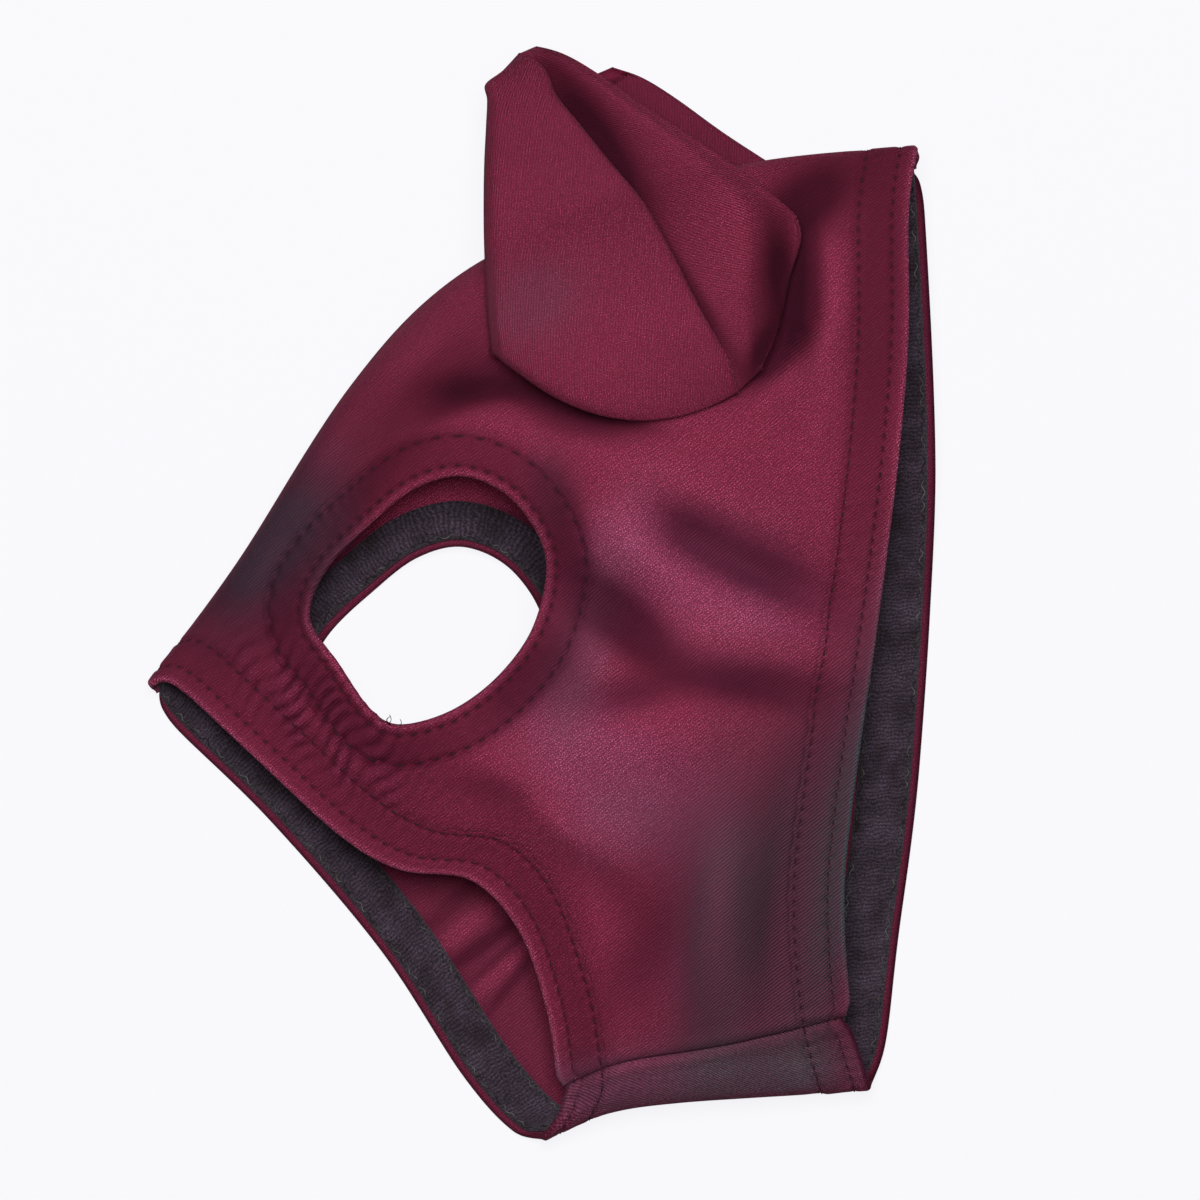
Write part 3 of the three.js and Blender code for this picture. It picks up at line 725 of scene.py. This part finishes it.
def panel_grid(upper):
    shares = even_shares(upper)[None, :]
    nose_angle, neck_angle = panel_angle(upper, 0.0, shares), panel_angle(upper, 1.0, shares)
    nose = NOSE.along((NOSE_HEM["rows"][1] + HEM_OVERLAP)[:, None], nose_angle)
    neck = NECK.along((NECK_HEM["rows"][1] + HEM_OVERLAP)[::-1, None], neck_angle)
    steps = np.linspace(0, 1, PANEL_ROWS + 2)[1:-1, None]
    along = np.vstack([nose, mix(nose[-1:], neck[:1], steps), neck])
    return along, panel_angle(upper, along, shares)


def outline_distance(xy, outline):
    """Distance in plan from a closed outline, below zero inside it, and the place along it."""
    ring = outline.points[:-1]
    flat = xy.reshape(-1, 2)
    best = np.zeros(len(flat))
    place = np.zeros(len(flat), int)
    batch = 4000
    for start in range(0, len(flat), batch):
        part = slice(start, start + batch)
        far = np.linalg.norm(flat[part, None] - ring[None], axis=-1)
        place[part] = far.argmin(1)
        best[part] = far.min(1)
    share = outline.shares[place]
    outward = ((flat - ring[place]) * outline.normal(share)).sum(-1)
    return (best * np.sign(outward)).reshape(xy.shape[:-1]), (share * outline.length).reshape(xy.shape[:-1])


def in_ear_hole(xy, upper):
    x, y = np.moveaxis(xy if upper else xy - LOWER_EAR_SHIFT, -1, 0)
    across, along = across_along(x - EAR_HOLE["x"], y - EAR_HOLE["y"], EAR_HOLE["turn"])
    return (along / EAR_HOLE["long"]) ** 2 + (across / EAR_HOLE["wide"]) ** 2 < 1


def cell_middles(grid):
    return (grid[:-1, :-1] + grid[1:, :-1] + grid[:-1, 1:] + grid[1:, 1:]) / 4


def cloth_places(along, around, upper):
    """Places across and along the knit's lines, measured over the curve of the body from its top."""
    top = math.pi / 2 if upper else 3 * math.pi / 2
    steps = 20
    side = np.sign(around - top) * (-1.0 if upper else 1.0)
    here = body_point(along, np.full(around.shape, top))
    across = turned(here, PANEL_LINES)[..., 0]
    for step in range(1, steps + 1):
        there = body_point(along, mix(top, around, step / steps))
        moved = turned(there, PANEL_LINES)[..., 0] - turned(here, PANEL_LINES)[..., 0]
        across = across + side * np.hypot(moved, there[..., 2] - here[..., 2])
        here = there
    places = np.stack([across, turned(here, PANEL_LINES)[..., 1]], -1)
    return both_sides(places)


def laid_flat(grid):
    """Places of a grid of points laid flat by their lengths over the surface."""
    across, up = runs(grid, 1), runs(grid, 0).mean(axis=1, keepdims=True)
    ahead = unit(grid[:, -1, :2] - grid[:, 0, :2])
    return np.stack([grid[:, :1, 0] + ahead[:, :1] * across, up + ahead[:, 1:] * across], -1)


def seam_lift(grid):
    """Dip of the cloth into the seams at both ends of a grid's rows, with a low roll beside it."""
    run = runs(grid, 1)
    seam = np.minimum(run, run[:, -1:] - run)
    roll = SEAM_ROLL["height"] * bell(seam - SEAM_ROLL["at"], SEAM_ROLL["width"])
    return roll - SEAM_DIP["depth"] * bell(seam, SEAM_DIP["width"])


def panel_cloth(upper):
    along, around = panel_grid(upper)
    bare, normal, folds = surface(along, around)
    eye, eye_arc = outline_distance(bare[..., :2], EYES[upper].outline)
    on_layer = np.sin(around) >= 0 if upper else np.sin(around) < 0
    eye = np.where(on_layer, eye, FAR_OFF)
    hems = [(opening.hem, opening.distance(along, around), opening.arc(around)) for opening in (NOSE, NECK)]
    lift = folds + seam_lift(bare)
    tape_shade = np.zeros(eye.shape)
    for hem, distance, arc in [*hems, (EYE_HEM, eye, eye_arc)]:
        lift = lift + hem_lift(hem, distance, arc) - panel_tuck(hem, distance)
        tape_shade = np.maximum(tape_shade, hem_shade(hem, distance))
    outer, inner = raised(bare, normal, lift, 0.0), raised(bare, normal, folds - WALL, PANEL_INSIDE)
    middles = cell_middles(bare)[..., :2]
    gone = (cell_middles(eye) < EYE_HEM["rows"][1] - 1.1) | in_ear_hole(middles, upper)
    keep = ~(gone & (cell_middles(on_layer.astype(float)) > 0.5))
    points, faces = shell(outer, inner, keep)
    places = cloth_places(along, around, upper)
    return points, faces, places, painted_light_and_tone_at(bare, around, tape_shade)


def hem_cloth(edge, along, around, distance, arc, upper):
    """A hem over a grid of places: rolled at its edge and tucked under the panel at its other side."""
    hem = edge.hem
    bare, normal, folds = surface(along, around)
    lift = folds + hem_lift(hem, distance, arc) + edge_roll(distance) - hem_dive(hem, distance)
    if not edge.ring:
        lift = lift + seam_lift(bare)
    rolled = HEM_ROLL["extra"] * (1 - smooth(HEM_ROLL["width"], HEM_ROLL["taper"], distance))
    hidden = 0.25 * past_rows(hem, distance, -1.5, -0.5)
    outer = raised(bare, normal, lift, 0.0)
    inner = raised(bare, normal, folds - WALL - rolled - edge_roll(distance) + hidden, HEM_INSIDE)
    points, faces = shell(outer, inner, wrap=edge.ring, flip=edge.ring and not upper)
    tape_shade = hem_shade(hem, distance) * smooth(0.8, 2.0, distance)
    border = 1 - smooth(0.3, 1.4, distance)
    # painted highlight along the upper layer's rolled edges
    edge_highlight = hem["highlight"] * border ** hem["narrow"] * (1.0 if upper else 0.0)
    # painted shade on the lower layer's rim
    if not upper:
        tape_shade = tape_shade + hem["far_rim_shade"] * border
    painted_light_and_tone = painted_light_and_tone_at(bare, around, tape_shade, edge_highlight, stitch_shade(hem, distance, arc))
    return points, faces, cloth_places(along, around, upper), painted_light_and_tone


def hem_steps(hem):
    """Distances from a hem's edge, close together on its rolled edge."""
    roll = np.array([0.0, 0.05, 0.16, 0.33, 0.54, 0.78])
    return np.concatenate([roll, np.linspace(1.1, hem["rows"][1] + 1.8, HEM_ROWS - len(roll))])


def opening_hem(opening, upper):
    end = float(opening.end)
    low, high = panel_angle(upper, end, 0.0), panel_angle(upper, end, 1.0)
    first, last = opening.arc(low), opening.arc(high)
    arcs = np.linspace(first, last, int((last - first) / HEM_STEP))
    angles = opening.around(arcs)
    shares = ((angles - low) % (2 * math.pi + 1e-9)) / (high - low)
    shares[0], shares[-1] = 0.0, 1.0
    arc, distance = np.meshgrid(arcs, hem_steps(opening.hem))
    if opening.end == 1:
        arc, distance = arc[::-1], distance[::-1]
    short = CORNER["depth"] * bell(np.minimum(arc - arcs[0], arcs[-1] - arc), CORNER["run"])
    if not upper:
        short = short + SEAM_STEP["throat"] * bell(arc - arcs[0], SEAM_STEP["run"])
        short = short + SEAM_STEP["top"] * bell(arc - arcs[-1], SEAM_STEP["run"])
    placed = distance + short * (1 - smooth(2.0, 9.0, distance))
    along = opening.along(placed, panel_angle(upper, end, shares)[None, :])
    around = panel_angle(upper, along, shares[None, :])
    return hem_cloth(opening, along, around, distance, arc, upper)


def eye_hem(upper):
    eye = EYES[upper]
    arcs = np.arange(eye.columns) / eye.columns * eye.length
    arc, distance = np.meshgrid(arcs, hem_steps(EYE_HEM))
    return hem_cloth(eye, *eye.place(distance, arc), distance, arc, upper)


# Ears
EAR_COLUMNS = 120
EAR_ROWS = 70
EAR_BASE = {"depth": 2.0, "length": 62.0, "start": -1.25, "rows": 14}  # the rolled bottom edge
EAR_TIP = {"from": 0.95, "run": 0.05, "rows": 9}
EAR_BACK = {"from": 0.05, "to": 0.93, "side": 0.06, "fold": 0.62, "rows": 64, "columns": 60, "sunk": 0.05}
EAR_BACK_REACH = {True: 0.92, False: 0.965}  # share of the lobe that the upper or lower ear's back covers
# Round the flap's left edge, in millimetres from it, and the share of the shoulder's height
FLAP_EDGE = [(1.6, 0.0), (0.4, 0.04), (-0.1, 0.2), (0.0, 0.42), (0.5, 0.66), (1.6, 0.85), (3.2, 0.95)]
FLAP_ACROSS = [0.18, 0.36, 0.54, 0.7, 0.84, 0.94]
# Round the flap's fold and back under it, in shares of the pleat's depth past the fold and down from it
PLEAT_LINE = [(0.0, 0.0), (0.2, -0.1), (0.22, -0.32), (-0.1, -0.5), (-0.7, -0.62), (-1.1, -0.8), (-0.9, -1.0)]
PLEAT_REACH = 4.4
LOBE_ACROSS = [0.06, 0.16, 0.28, 0.4, 0.52, 0.64, 0.75, 0.84, 0.91, 0.96, 1.0]
LOBE_EDGE = [(1.005, 0.55), (0.995, 0.2), (0.97, 0.0)]


def through_rows(table, share):
    """Values at shares of the way down a table, on smooth curves through its rows."""
    p = share * (len(table) - 1)
    first = np.clip(np.floor(p).astype(int), 0, len(table) - 2)
    slope = np.gradient(table, axis=0)
    return hermite((p - first)[:, None], (table[first], table[first + 1]), (slope[first], slope[first + 1]))


def ear_plan(share):
    """Left side, fold, right side and sag of an ear at shares of the way from base to tip."""
    table = np.array([[*left, *fold, *right, sag] for left, fold, right, sag in EAR_SECTIONS])
    rows = through_rows(table, share)
    return rows[:, 0:2], rows[:, 2:4], rows[:, 4:6], np.maximum(rows[:, 6], 0)


def ear_bed(xy):
    """Height of the upper ear's back layer."""
    rest = EAR_REST["height"] - EAR_REST["slope"] * (xy[..., 1] - EAR_REST["y"])
    along, around, miss = find_on_body(xy, True)
    body = np.where(miss < 0.01, body_point(along, around)[..., 2] + GAP, 0.0)
    return (body + rest + np.hypot(body - rest, EAR_REST["blend"])) / 2


def ear_stations():
    """Shares from base to tip and the height each keeps: the rolled base, the ear and the closed tip."""
    turn = np.linspace(EAR_BASE["start"], math.pi / 2, EAR_BASE["rows"])
    base = EAR_BASE["depth"] * (1 - np.cos(turn)) / EAR_BASE["length"]
    middle = np.linspace(base[-1], EAR_TIP["from"], EAR_ROWS + 1)[1:]
    bend = np.linspace(0, math.pi / 2, EAR_TIP["rows"])[1:]
    share = np.concatenate([base, middle, EAR_TIP["from"] + EAR_TIP["run"] * np.sin(bend)])
    keep = np.concatenate([0.5 + 0.5 * np.sin(turn), np.ones(len(middle)), 0.12 + 0.88 * np.cos(bend)])
    return share, keep


def flap_place(left, fold, sag, across):
    drop = np.stack([0 * sag, sag * 4 * across * (1 - across)], -1)
    return left + (fold - left) * np.asarray(across)[..., None] - drop


def ear_front():
    """An ear's front, rows by points: plan, height over the back layer and side (0 flap, 1 lobe)."""
    share, keep = ear_stations()
    left, fold, right, sag = ear_plan(share)
    shoulder, crest, pit, crown, rim, place = through_rows(np.array(EAR_HEIGHTS), share).T
    shoulder, crest, pit, crown, rim = (height * keep for height in (shoulder, crest, pit, crown, rim))
    width = np.linalg.norm(fold - left, axis=1)
    ahead = (fold - left) / width[:, None]
    lines = []
    for out, rise in FLAP_EDGE:
        lines.append((flap_place(left, fold, sag, out / width), shoulder * rise, 0.0))
    for step in FLAP_ACROSS:
        across = mix(FLAP_EDGE[-1][0] / width, 1.0, step)
        height = mix(shoulder, crest, smooth(0.0, 0.9, step))
        lines.append((flap_place(left, fold, sag, across), height, 0.0))
    depth = np.maximum(crest - pit, 0.1)
    reach = np.minimum(depth, PLEAT_REACH)
    for number, (out, fall) in enumerate(PLEAT_LINE):
        side = smooth(2.0, 4.0, number)
        lines.append((fold + ahead * (out * reach)[:, None], crest + fall * depth, side))
    start = fold - ahead * (0.7 * reach)[:, None]
    for across in LOBE_ACROSS:
        rising = mix(pit, crown, smooth(0.0, place, across))
        height = np.where(across < place, rising, mix(crown, rim, smooth(place, 1.0, across)))
        lines.append((start + (right - start) * across, height, 1.0))
    for across, rise in LOBE_EDGE:
        lines.append((start + (right - start) * across, np.minimum(rim, rim * rise), 1.0))
    plan = np.stack([p for p, _, _ in lines], 1)
    height = np.stack([h for _, h, _ in lines], 1)
    side = np.broadcast_to([float(f) for _, _, f in lines], height.shape)
    return plan, height, side


def resampled(rows, count):
    """Each row of points as a smooth line of evenly spaced points."""
    return np.stack([Path(row, per_span=12)(np.linspace(0, 1, count)) for row in rows])


def ear_place(plan, height, upper):
    """Points of an ear from plan and height over its back. The lower ear is turned over and flatter."""
    if upper:
        return np.concatenate([plan, (ear_bed(plan) + height)[..., None]], -1)
    thick = EAR_STACK["height"] - 2 * GAP
    tallest = max(row[1] for row in EAR_HEIGHTS)
    z = thick - np.maximum(height, 0.0) * (thick - 0.2) / tallest
    return np.concatenate([plan + LOWER_EAR_SHIFT, z[..., None]], -1)


def grid_normal(grid):
    by_row, by_column = np.gradient(grid, axis=0), np.gradient(grid, axis=1)
    return unit(np.cross(by_column, by_row))


def ear_front_cloth(upper):
    plan, height, side = ear_front()
    front = resampled(np.concatenate([plan, height[..., None], side[..., None]], -1), EAR_COLUMNS)
    plan, height, side = front[..., :2], front[..., 2], front[..., 3:]
    grid = ear_place(plan, height, upper)
    facing = 1.0 if upper else -1.0
    thick = EAR_CLOTH * (1 - 0.95 * smooth(0.9, 0.96, ear_stations()[0]))
    inner = grid - grid_normal(grid) * facing * thick[:, None, None]
    points, faces = shell(grid, inner, flip=not upper)
    flat = laid_flat(grid)
    places = np.where(side < 0.5, turned(flat, FLAP_LINES), turned(flat, LOBE_LINES))
    return points, faces, both_sides(places), ear_tints(plan, side[..., 0])


def ear_tints(plan, side):
    """Tints of an ear's front: painted shade in the lobe's recess and crease, painted haze on the flap."""
    lobe = smooth(0.2, 0.8, side)
    tint = np.ones((*side.shape, 3)) * EAR_TINT
    return two_sided(toned(tint, plan, ((EAR_SHADE, SHADE_TINT, lobe), (EAR_PAINTED_HAZE, PAINTED_HAZE_TINT, 1 - lobe))))


def ear_back_cloth(upper):
    """The back layer, with the hole that opens into the body."""
    low, high, turn = EAR_BACK["from"], EAR_BACK["to"], EAR_BACK["fold"]
    share = np.linspace(low, high, EAR_BACK["rows"])
    across = np.linspace(EAR_BACK["side"], 1.0, EAR_BACK["columns"])
    left, fold, right, sag = ear_plan(share)
    stop = mix(0.5, EAR_BACK_REACH[upper], smooth(0.33, 0.5, share))[:, None]
    lines = []
    for place in across:
        on_flap = flap_place(left, fold, sag, np.full(sag.shape, min(place / turn, 1.0)))
        lines.append(on_flap + (right - fold) * stop * max(place - turn, 0.0) / (1 - turn))
    plan = np.stack(lines, 1)
    ends = np.minimum(share - low, high - share) * EAR_BASE["length"]
    inset = (across - across[0])[None, :] * np.linalg.norm(right - left, axis=1)[:, None]
    edge = np.minimum(ends[:, None], inset)
    grid = ear_place(plan, 0.9 * np.exp(-edge / 1.6), upper)
    facing = 1.0 if upper else -1.0
    outer = grid - grid_normal(grid) * facing * EAR_BACK["sunk"]
    inner = grid + grid_normal(grid) * facing * EAR_CLOTH
    keep = ~in_ear_hole(cell_middles(grid)[..., :2], upper)
    points, faces = shell(outer, inner, keep, flip=upper)
    # painted shade on the lower ear's back
    tints = np.ones((len(points), 3)) * (1.0 if upper else FAR_EAR_SHADE_TINT)
    return points, faces, both_sides(turned(plan, FLAP_LINES)), tints


# Tapes, and the ribs of their pile: height, shares of the way along the edge and from it, pitch, seed
PILE_RIBS = [(0.1, 1.0, 0.25, 1.05, 3.0), (0.14, 0.3, 1.0, 1.7, 5.0)]
THIN_PILE = 0.12  # the least thickness of a tape


def tape_wool(edge):
    """Tape behind a hem, with a ribbed pile on its inner face."""
    end = edge.hem["tape_to"]
    arcs = np.arange(edge.tape_columns) * edge.length / edge.tape_columns
    arc, distance = np.meshgrid(arcs, np.linspace(TAPE["from"], end, TAPE["rows"]))
    along, around = edge.place(distance, arc)
    bare, normal, folds = surface(along, around)
    side = np.minimum(distance - TAPE["from"], end - distance)
    ribs = sum(rise * ripple(a * arc + d * distance, pitch, seed) for rise, a, d, pitch, seed in PILE_RIBS)
    pile = (TAPE["thick"] + ribs) * smooth(-0.3, 0.9, side)
    outer = raised(bare, normal, folds - WALL - GAP)
    inner = outer - normal * np.maximum(pile, THIN_PILE)[..., None]
    points, faces = shell(outer, inner, wrap=True, flip=edge.tape_flip)
    return points, faces, both_sides(np.stack([arc, distance], -1)), np.ones((len(points), 3))


# Stitches
STITCH_ARCH = np.array([-0.21, -0.15, -0.05, 0.05, 0.15, 0.21])  # places along a stitch, in pitches
STITCH_RISE = np.array([-0.5, -0.06, 0.1, 0.1, -0.06, -0.5])
STITCH_RADIUS = 0.17
STITCH_LOW = 0.05  # the least height of a stitch over the table


def stitches(edge):
    """Short arches of thread along the rows of a hem."""
    count = int(edge.length / STITCH_PITCH)
    arcs = ((np.arange(count) + 0.5)[:, None] + STITCH_ARCH) * STITCH_PITCH
    lines = []
    for row in edge.hem["rows"]:
        distance = np.full(arcs.shape, row)
        bare, normal, folds = surface(*edge.place(distance, arcs))
        lift = folds + hem_lift(edge.hem, distance, arcs) + STITCH_RISE
        lines.append(raised(bare, normal, lift, STITCH_LOW))
    return np.concatenate(lines)


ZIGZAG = {"pitch": 2.6, "swing": 0.35, "points": 6, "radius": 0.11, "out": 0.12}
UNDER_TAPE = WALL + GAP + TAPE["thick"] + ZIGZAG["out"]


def zigzags(edge):
    """Uneven rows of the thread that holds a tape, on the tape's inner face."""
    arcs = np.linspace(0, edge.length, int(edge.length / ZIGZAG["pitch"] * ZIGZAG["points"]))
    lines = []
    for row, seed in edge.thread_rows:
        distance = row + ZIGZAG["swing"] * ripple(arcs, ZIGZAG["pitch"], seed)
        bare, normal, folds = surface(*edge.place(distance, arcs))
        lines.append(raised(bare, normal, folds - UNDER_TAPE))
    return np.stack(lines)


# Loose ends of thread at the lower corner of the eye hole: share along the edge, reach in x, y and up, curl
LOOSE_ENDS = [
    (0.815, 0.4, 1.9, 0.8, 0.5),
    (0.81, -0.6, 1.5, 1.0, -0.5),
    (0.805, 1.0, 1.3, 0.5, 0.7),
    (0.82, -1.1, 1.0, 0.7, 0.4),
    (0.812, 0.2, 1.7, 1.3, -0.7),
]
LOOSE_RADIUS = 0.07


def loose_ends():
    t = np.linspace(0, 1, 10)
    lines = []
    for share, x, y, up, curl in LOOSE_ENDS:
        start = body_point(*EYES[True].place(np.array(0.3), share * EYES[True].length))
        sway = curl * np.sin(math.pi * t)
        lines.append(start + np.stack([x * t + sway, y * t - 0.3 * sway, up * np.sin(t * 2.2)], -1))
    return np.stack(lines)


# Materials
def set_inputs(made, **inputs):
    for name, value in inputs.items():
        made.inputs[name.replace("_", " ")].default_value = value
    return made


def new_material(name, color, roughness, **inputs):
    material = bpy.data.materials.new(name)
    material.use_nodes = True
    tree = material.node_tree
    shader = tree.nodes["Principled BSDF"]
    return material, tree, set_inputs(shader, Base_Color=(*color, 1.0), Roughness=roughness, **inputs)


def node(tree, kind, **inputs):
    return set_inputs(tree.nodes.new("ShaderNode" + kind), **inputs)


def texture(tree, kind, **inputs):
    """A texture's value over places on the cloth in millimetres."""
    made, place = node(tree, kind, **inputs), node(tree, "UVMap")
    place.uv_map = "cloth"
    scaled = node(tree, "Mapping", Scale=(1 / UV_UNIT, 1 / UV_UNIT, 1 / UV_UNIT))
    tree.links.new(place.outputs["UV"], scaled.inputs["Vector"])
    tree.links.new(scaled.outputs["Vector"], made.inputs["Vector"])
    return made.outputs["Fac"]


def ramp(tree, source, low, high):
    """A colour ramp over a texture's value: (position, colour) at its two ends."""
    made = node(tree, "ValToRGB")
    for element, (position, color) in zip(made.color_ramp.elements, (low, high)):
        element.position = position
        element.color = (*color, 1.0)
    tree.links.new(source, made.inputs["Fac"])
    return made.outputs["Color"]


def multiplied(tree, first, second, factor=None):
    made = node(tree, "Mix")
    made.data_type = "RGBA"
    made.blend_type = "MULTIPLY"
    made.inputs["Factor"].default_value = 1.0
    if factor is not None:
        tree.links.new(factor, made.inputs["Factor"])
    tree.links.new(first, made.inputs["A"])
    tree.links.new(second, made.inputs["B"])
    return made.outputs["Result"]


def ranged(tree, source, low, high):
    """A value carried from one range to another: (from, to) at its two ends."""
    names = ("From Min", "To Min", "From Max", "To Max")
    made = node(tree, "MapRange", **dict(zip(names, (*low, *high))))
    tree.links.new(source, made.inputs["Value"])
    return made.outputs["Result"]


def math_node(tree, operation, first, second):
    made = node(tree, "Math")
    made.operation = operation
    tree.links.new(first, made.inputs[0])
    tree.links.new(second, made.inputs[1])
    return made.outputs["Value"]


def bumped(tree, shader, source, strength, distance):
    bump = node(tree, "Bump", Strength=strength, Distance=distance)
    tree.links.new(source, bump.inputs["Height"])
    tree.links.new(bump.outputs["Normal"], shader.inputs["Normal"])


def knit_material():
    material, tree, shader = new_material(
        "knit_fabric",
        (0.05, 0.005, 0.015),
        0.55,
        Sheen_Weight=0.02,
        Sheen_Roughness=0.35,
        Sheen_Tint=(0.9, 0.3, 0.45, 1.0),
        Specular_IOR_Level=0.2,
        Specular_Tint=(1.0, 0.17, 0.32, 1.0),
        Subsurface_Weight=0.3,
        Subsurface_Radius=(1.0, 0.3, 0.45),
        Subsurface_Scale=0.001,
    )
    ribs = texture(tree, "TexWave", Scale=0.57, Distortion=1.6, Detail=1.0)
    grain = texture(tree, "TexNoise", Scale=3.4, Detail=2.0, Roughness=0.7)
    glint_noise = texture(tree, "TexNoise", Scale=4.8, Detail=0.0)
    clouds = texture(tree, "TexNoise", Scale=0.035, Detail=2.0, Roughness=0.5)
    color = ramp(tree, grain, (0.3, (0.027, 0.0023, 0.0062)), (0.75, (0.068, 0.0066, 0.0165)))
    # painted glints: bright specks where the knit catches the light
    painted_glints = ramp(tree, glint_noise, (0.58, (1.0, 1.0, 1.0)), (0.76, (4.4, 7.0, 6.2)))
    lines = ramp(tree, ribs, (0.0, (0.76, 0.76, 0.76)), (1.0, (1.15, 1.15, 1.15)))
    drift = ramp(tree, clouds, (0.35, (0.9, 0.92, 0.95)), (0.65, (1.0, 1.0, 1.0)))
    # painted shade, haze, highlights and glow from the cloth's tints scale its colour and set its roughness
    layer = node(tree, "VertexColor")
    layer.layer_name = "painted_light_and_tone"
    painted_light_and_tone = layer.outputs["Color"]
    channels = node(tree, "SeparateColor")
    tree.links.new(painted_light_and_tone, channels.inputs["Color"])
    red, green = channels.outputs["Red"], channels.outputs["Green"]
    # the painted glints are kept off painted shade and painted haze
    bright = ranged(tree, red, (0.5, 0.1), (1.0, 1.0))
    clear = ranged(tree, math_node(tree, "DIVIDE", green, red), (1.8, 1.0), (3.0, 0.15))
    color = multiplied(tree, color, painted_glints, math_node(tree, "MULTIPLY", bright, clear))
    for tint in (lines, drift, painted_light_and_tone):
        color = multiplied(tree, color, tint)
    tree.links.new(color, shader.inputs["Base Color"])
    tree.links.new(ranged(tree, painted_light_and_tone, (0.3, 0.85), (1.0, 0.6)), shader.inputs["Roughness"])
    bumped(tree, shader, math_node(tree, "ADD", ribs, grain), 0.5, 0.0002)
    return material


def wool_material():
    fuzzy = {"Specular_IOR_Level": 0.05, "Sheen_Weight": 0.05, "Sheen_Tint": (0.85, 0.75, 0.85, 1.0)}
    material, tree, shader = new_material("woolly_tape", (0.012, 0.01, 0.012), 0.95, **fuzzy)
    fuzz = texture(tree, "TexNoise", Scale=2.6, Detail=3.0, Roughness=0.7)
    ribs = texture(tree, "TexWave", Scale=0.4, Distortion=7.0, Detail=1.0)
    clouds = texture(tree, "TexNoise", Scale=0.16, Detail=2.0, Roughness=0.6)
    color = ramp(tree, fuzz, (0.35, (0.004, 0.0026, 0.0038)), (0.75, (0.028, 0.0194, 0.0275)))
    shadows = ramp(tree, ribs, (0.1, (0.6, 0.6, 0.6)), (0.9, (1.1, 1.1, 1.1)))
    drift = ramp(tree, clouds, (0.35, (0.7, 0.66, 0.66)), (0.65, (1.4, 1.4, 1.5)))
    for tint in (shadows, drift):
        color = multiplied(tree, color, tint)
    tree.links.new(color, shader.inputs["Base Color"])
    bumped(tree, shader, fuzz, 0.8, 0.0003)
    return material


def thread_material(name, scale, dark, light, start=0.3):
    material, tree, shader = new_material(name, light, 0.8, Specular_IOR_Level=0.1)
    twist = node(tree, "TexNoise", Scale=scale, Detail=1.0)
    tree.links.new(node(tree, "TexCoord").outputs["Object"], twist.inputs["Vector"])
    color = ramp(tree, twist.outputs["Fac"], (start, dark), (0.7, light))
    tree.links.new(color, shader.inputs["Base Color"])
    return material


KNIT = knit_material()
WOOL = wool_material()
THREAD = thread_material("burgundy_thread", 3000.0, (0.003, 0.0006, 0.0014), (0.014, 0.002, 0.0055))
GREY_THREAD = thread_material("grey_thread", 400.0, (0.002, 0.002, 0.0018), (0.036, 0.037, 0.033), 0.42)


def add_piece(name, parts, material, node_name=None):
    made = make_object(name, *joined(parts), material)
    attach(made, "root")
    if node_name:
        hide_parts(node_name)
    return made


def panel_parts(upper):
    return [panel_cloth(upper), opening_hem(NOSE, upper), opening_hem(NECK, upper), eye_hem(upper)]


def ear_parts(upper):
    return [ear_front_cloth(upper), ear_back_cloth(upper)]


def thread_piece(name, lines, radius):
    return add_piece(name, [tubes(lines, radius)], GREY_THREAD)


def trims(name, edge):
    """An edge's tape, its rows of stitches and the thread that holds the tape."""
    return [
        add_piece(f"{name}_tape_wool", [tape_wool(edge)], WOOL, f"{name}_tape"),
        add_piece(f"{name}_stitches", [tubes(stitches(edge), STITCH_RADIUS)], THREAD),
        thread_piece(f"{name}_tape_thread", zigzags(edge), ZIGZAG["radius"]),
    ]


left_panel = add_piece("left_panel_cloth", panel_parts(True), KNIT, "left_panel")
right_panel = add_piece("right_panel_cloth", panel_parts(False), KNIT, "right_panel")
left_ear = add_piece("left_ear_cloth", ear_parts(True), KNIT, "left_ear")
right_ear = add_piece("right_ear_cloth", ear_parts(False), KNIT, "right_ear")
opening_trims = trims("nose", NOSE) + trims("neck", NECK)
left_eye_trims = [*trims("left_eye", EYES[True]), thread_piece("loose_thread", loose_ends(), LOOSE_RADIUS)]
right_eye_trims = trims("right_eye", EYES[False])


# Table, light and camera
def add_floor():
    half = 3.0
    glow = {"Emission_Color": (0.97, 0.965, 1.0, 1.0), "Emission_Strength": 0.9}
    corners = [(-half, -half, 0), (half, -half, 0), (half, half, 0), (-half, half, 0)]
    mesh = bpy.data.meshes.new("table")
    mesh.from_pydata(corners, [], [(0, 1, 2, 3)])
    mesh.materials.append(new_material("table", (0.02, 0.02, 0.02), 0.8, Specular_IOR_Level=0.1, **glow)[0])
    floor = add_object("table", mesh)
    floor.location.z = -0.0002
    floor.visible_glossy = False


def add_light(name, place, size, power):
    data = bpy.data.lights.new(name, "AREA")
    data.size = size
    data.energy = power
    lamp = add_object(name, data)
    lamp.location = place
    lamp.rotation_mode = "QUATERNION"
    lamp.rotation_quaternion = (-lamp.location).to_track_quat("-Z", "Y")


def add_camera():
    distance, view_width = 1.5, 0.24
    data = bpy.data.cameras.new("camera")
    data.sensor_width = 36.0
    data.lens = data.sensor_width * distance / view_width
    camera = add_object("camera", data)
    camera.location = (0.01174, -0.00038, distance)
    bpy.context.scene.camera = camera
    bpy.context.scene.view_settings.view_transform = "Standard"


def add_world():
    world = bpy.data.worlds.new("studio")
    world.use_nodes = True
    set_inputs(world.node_tree.nodes["Background"], Color=(1.0, 1.0, 1.0, 1.0), Strength=0.06)
    bpy.context.scene.world = world


add_floor()
add_light("key", (0.0, 0.22, 1.25), 0.55, 54.0)
add_camera()
add_world()
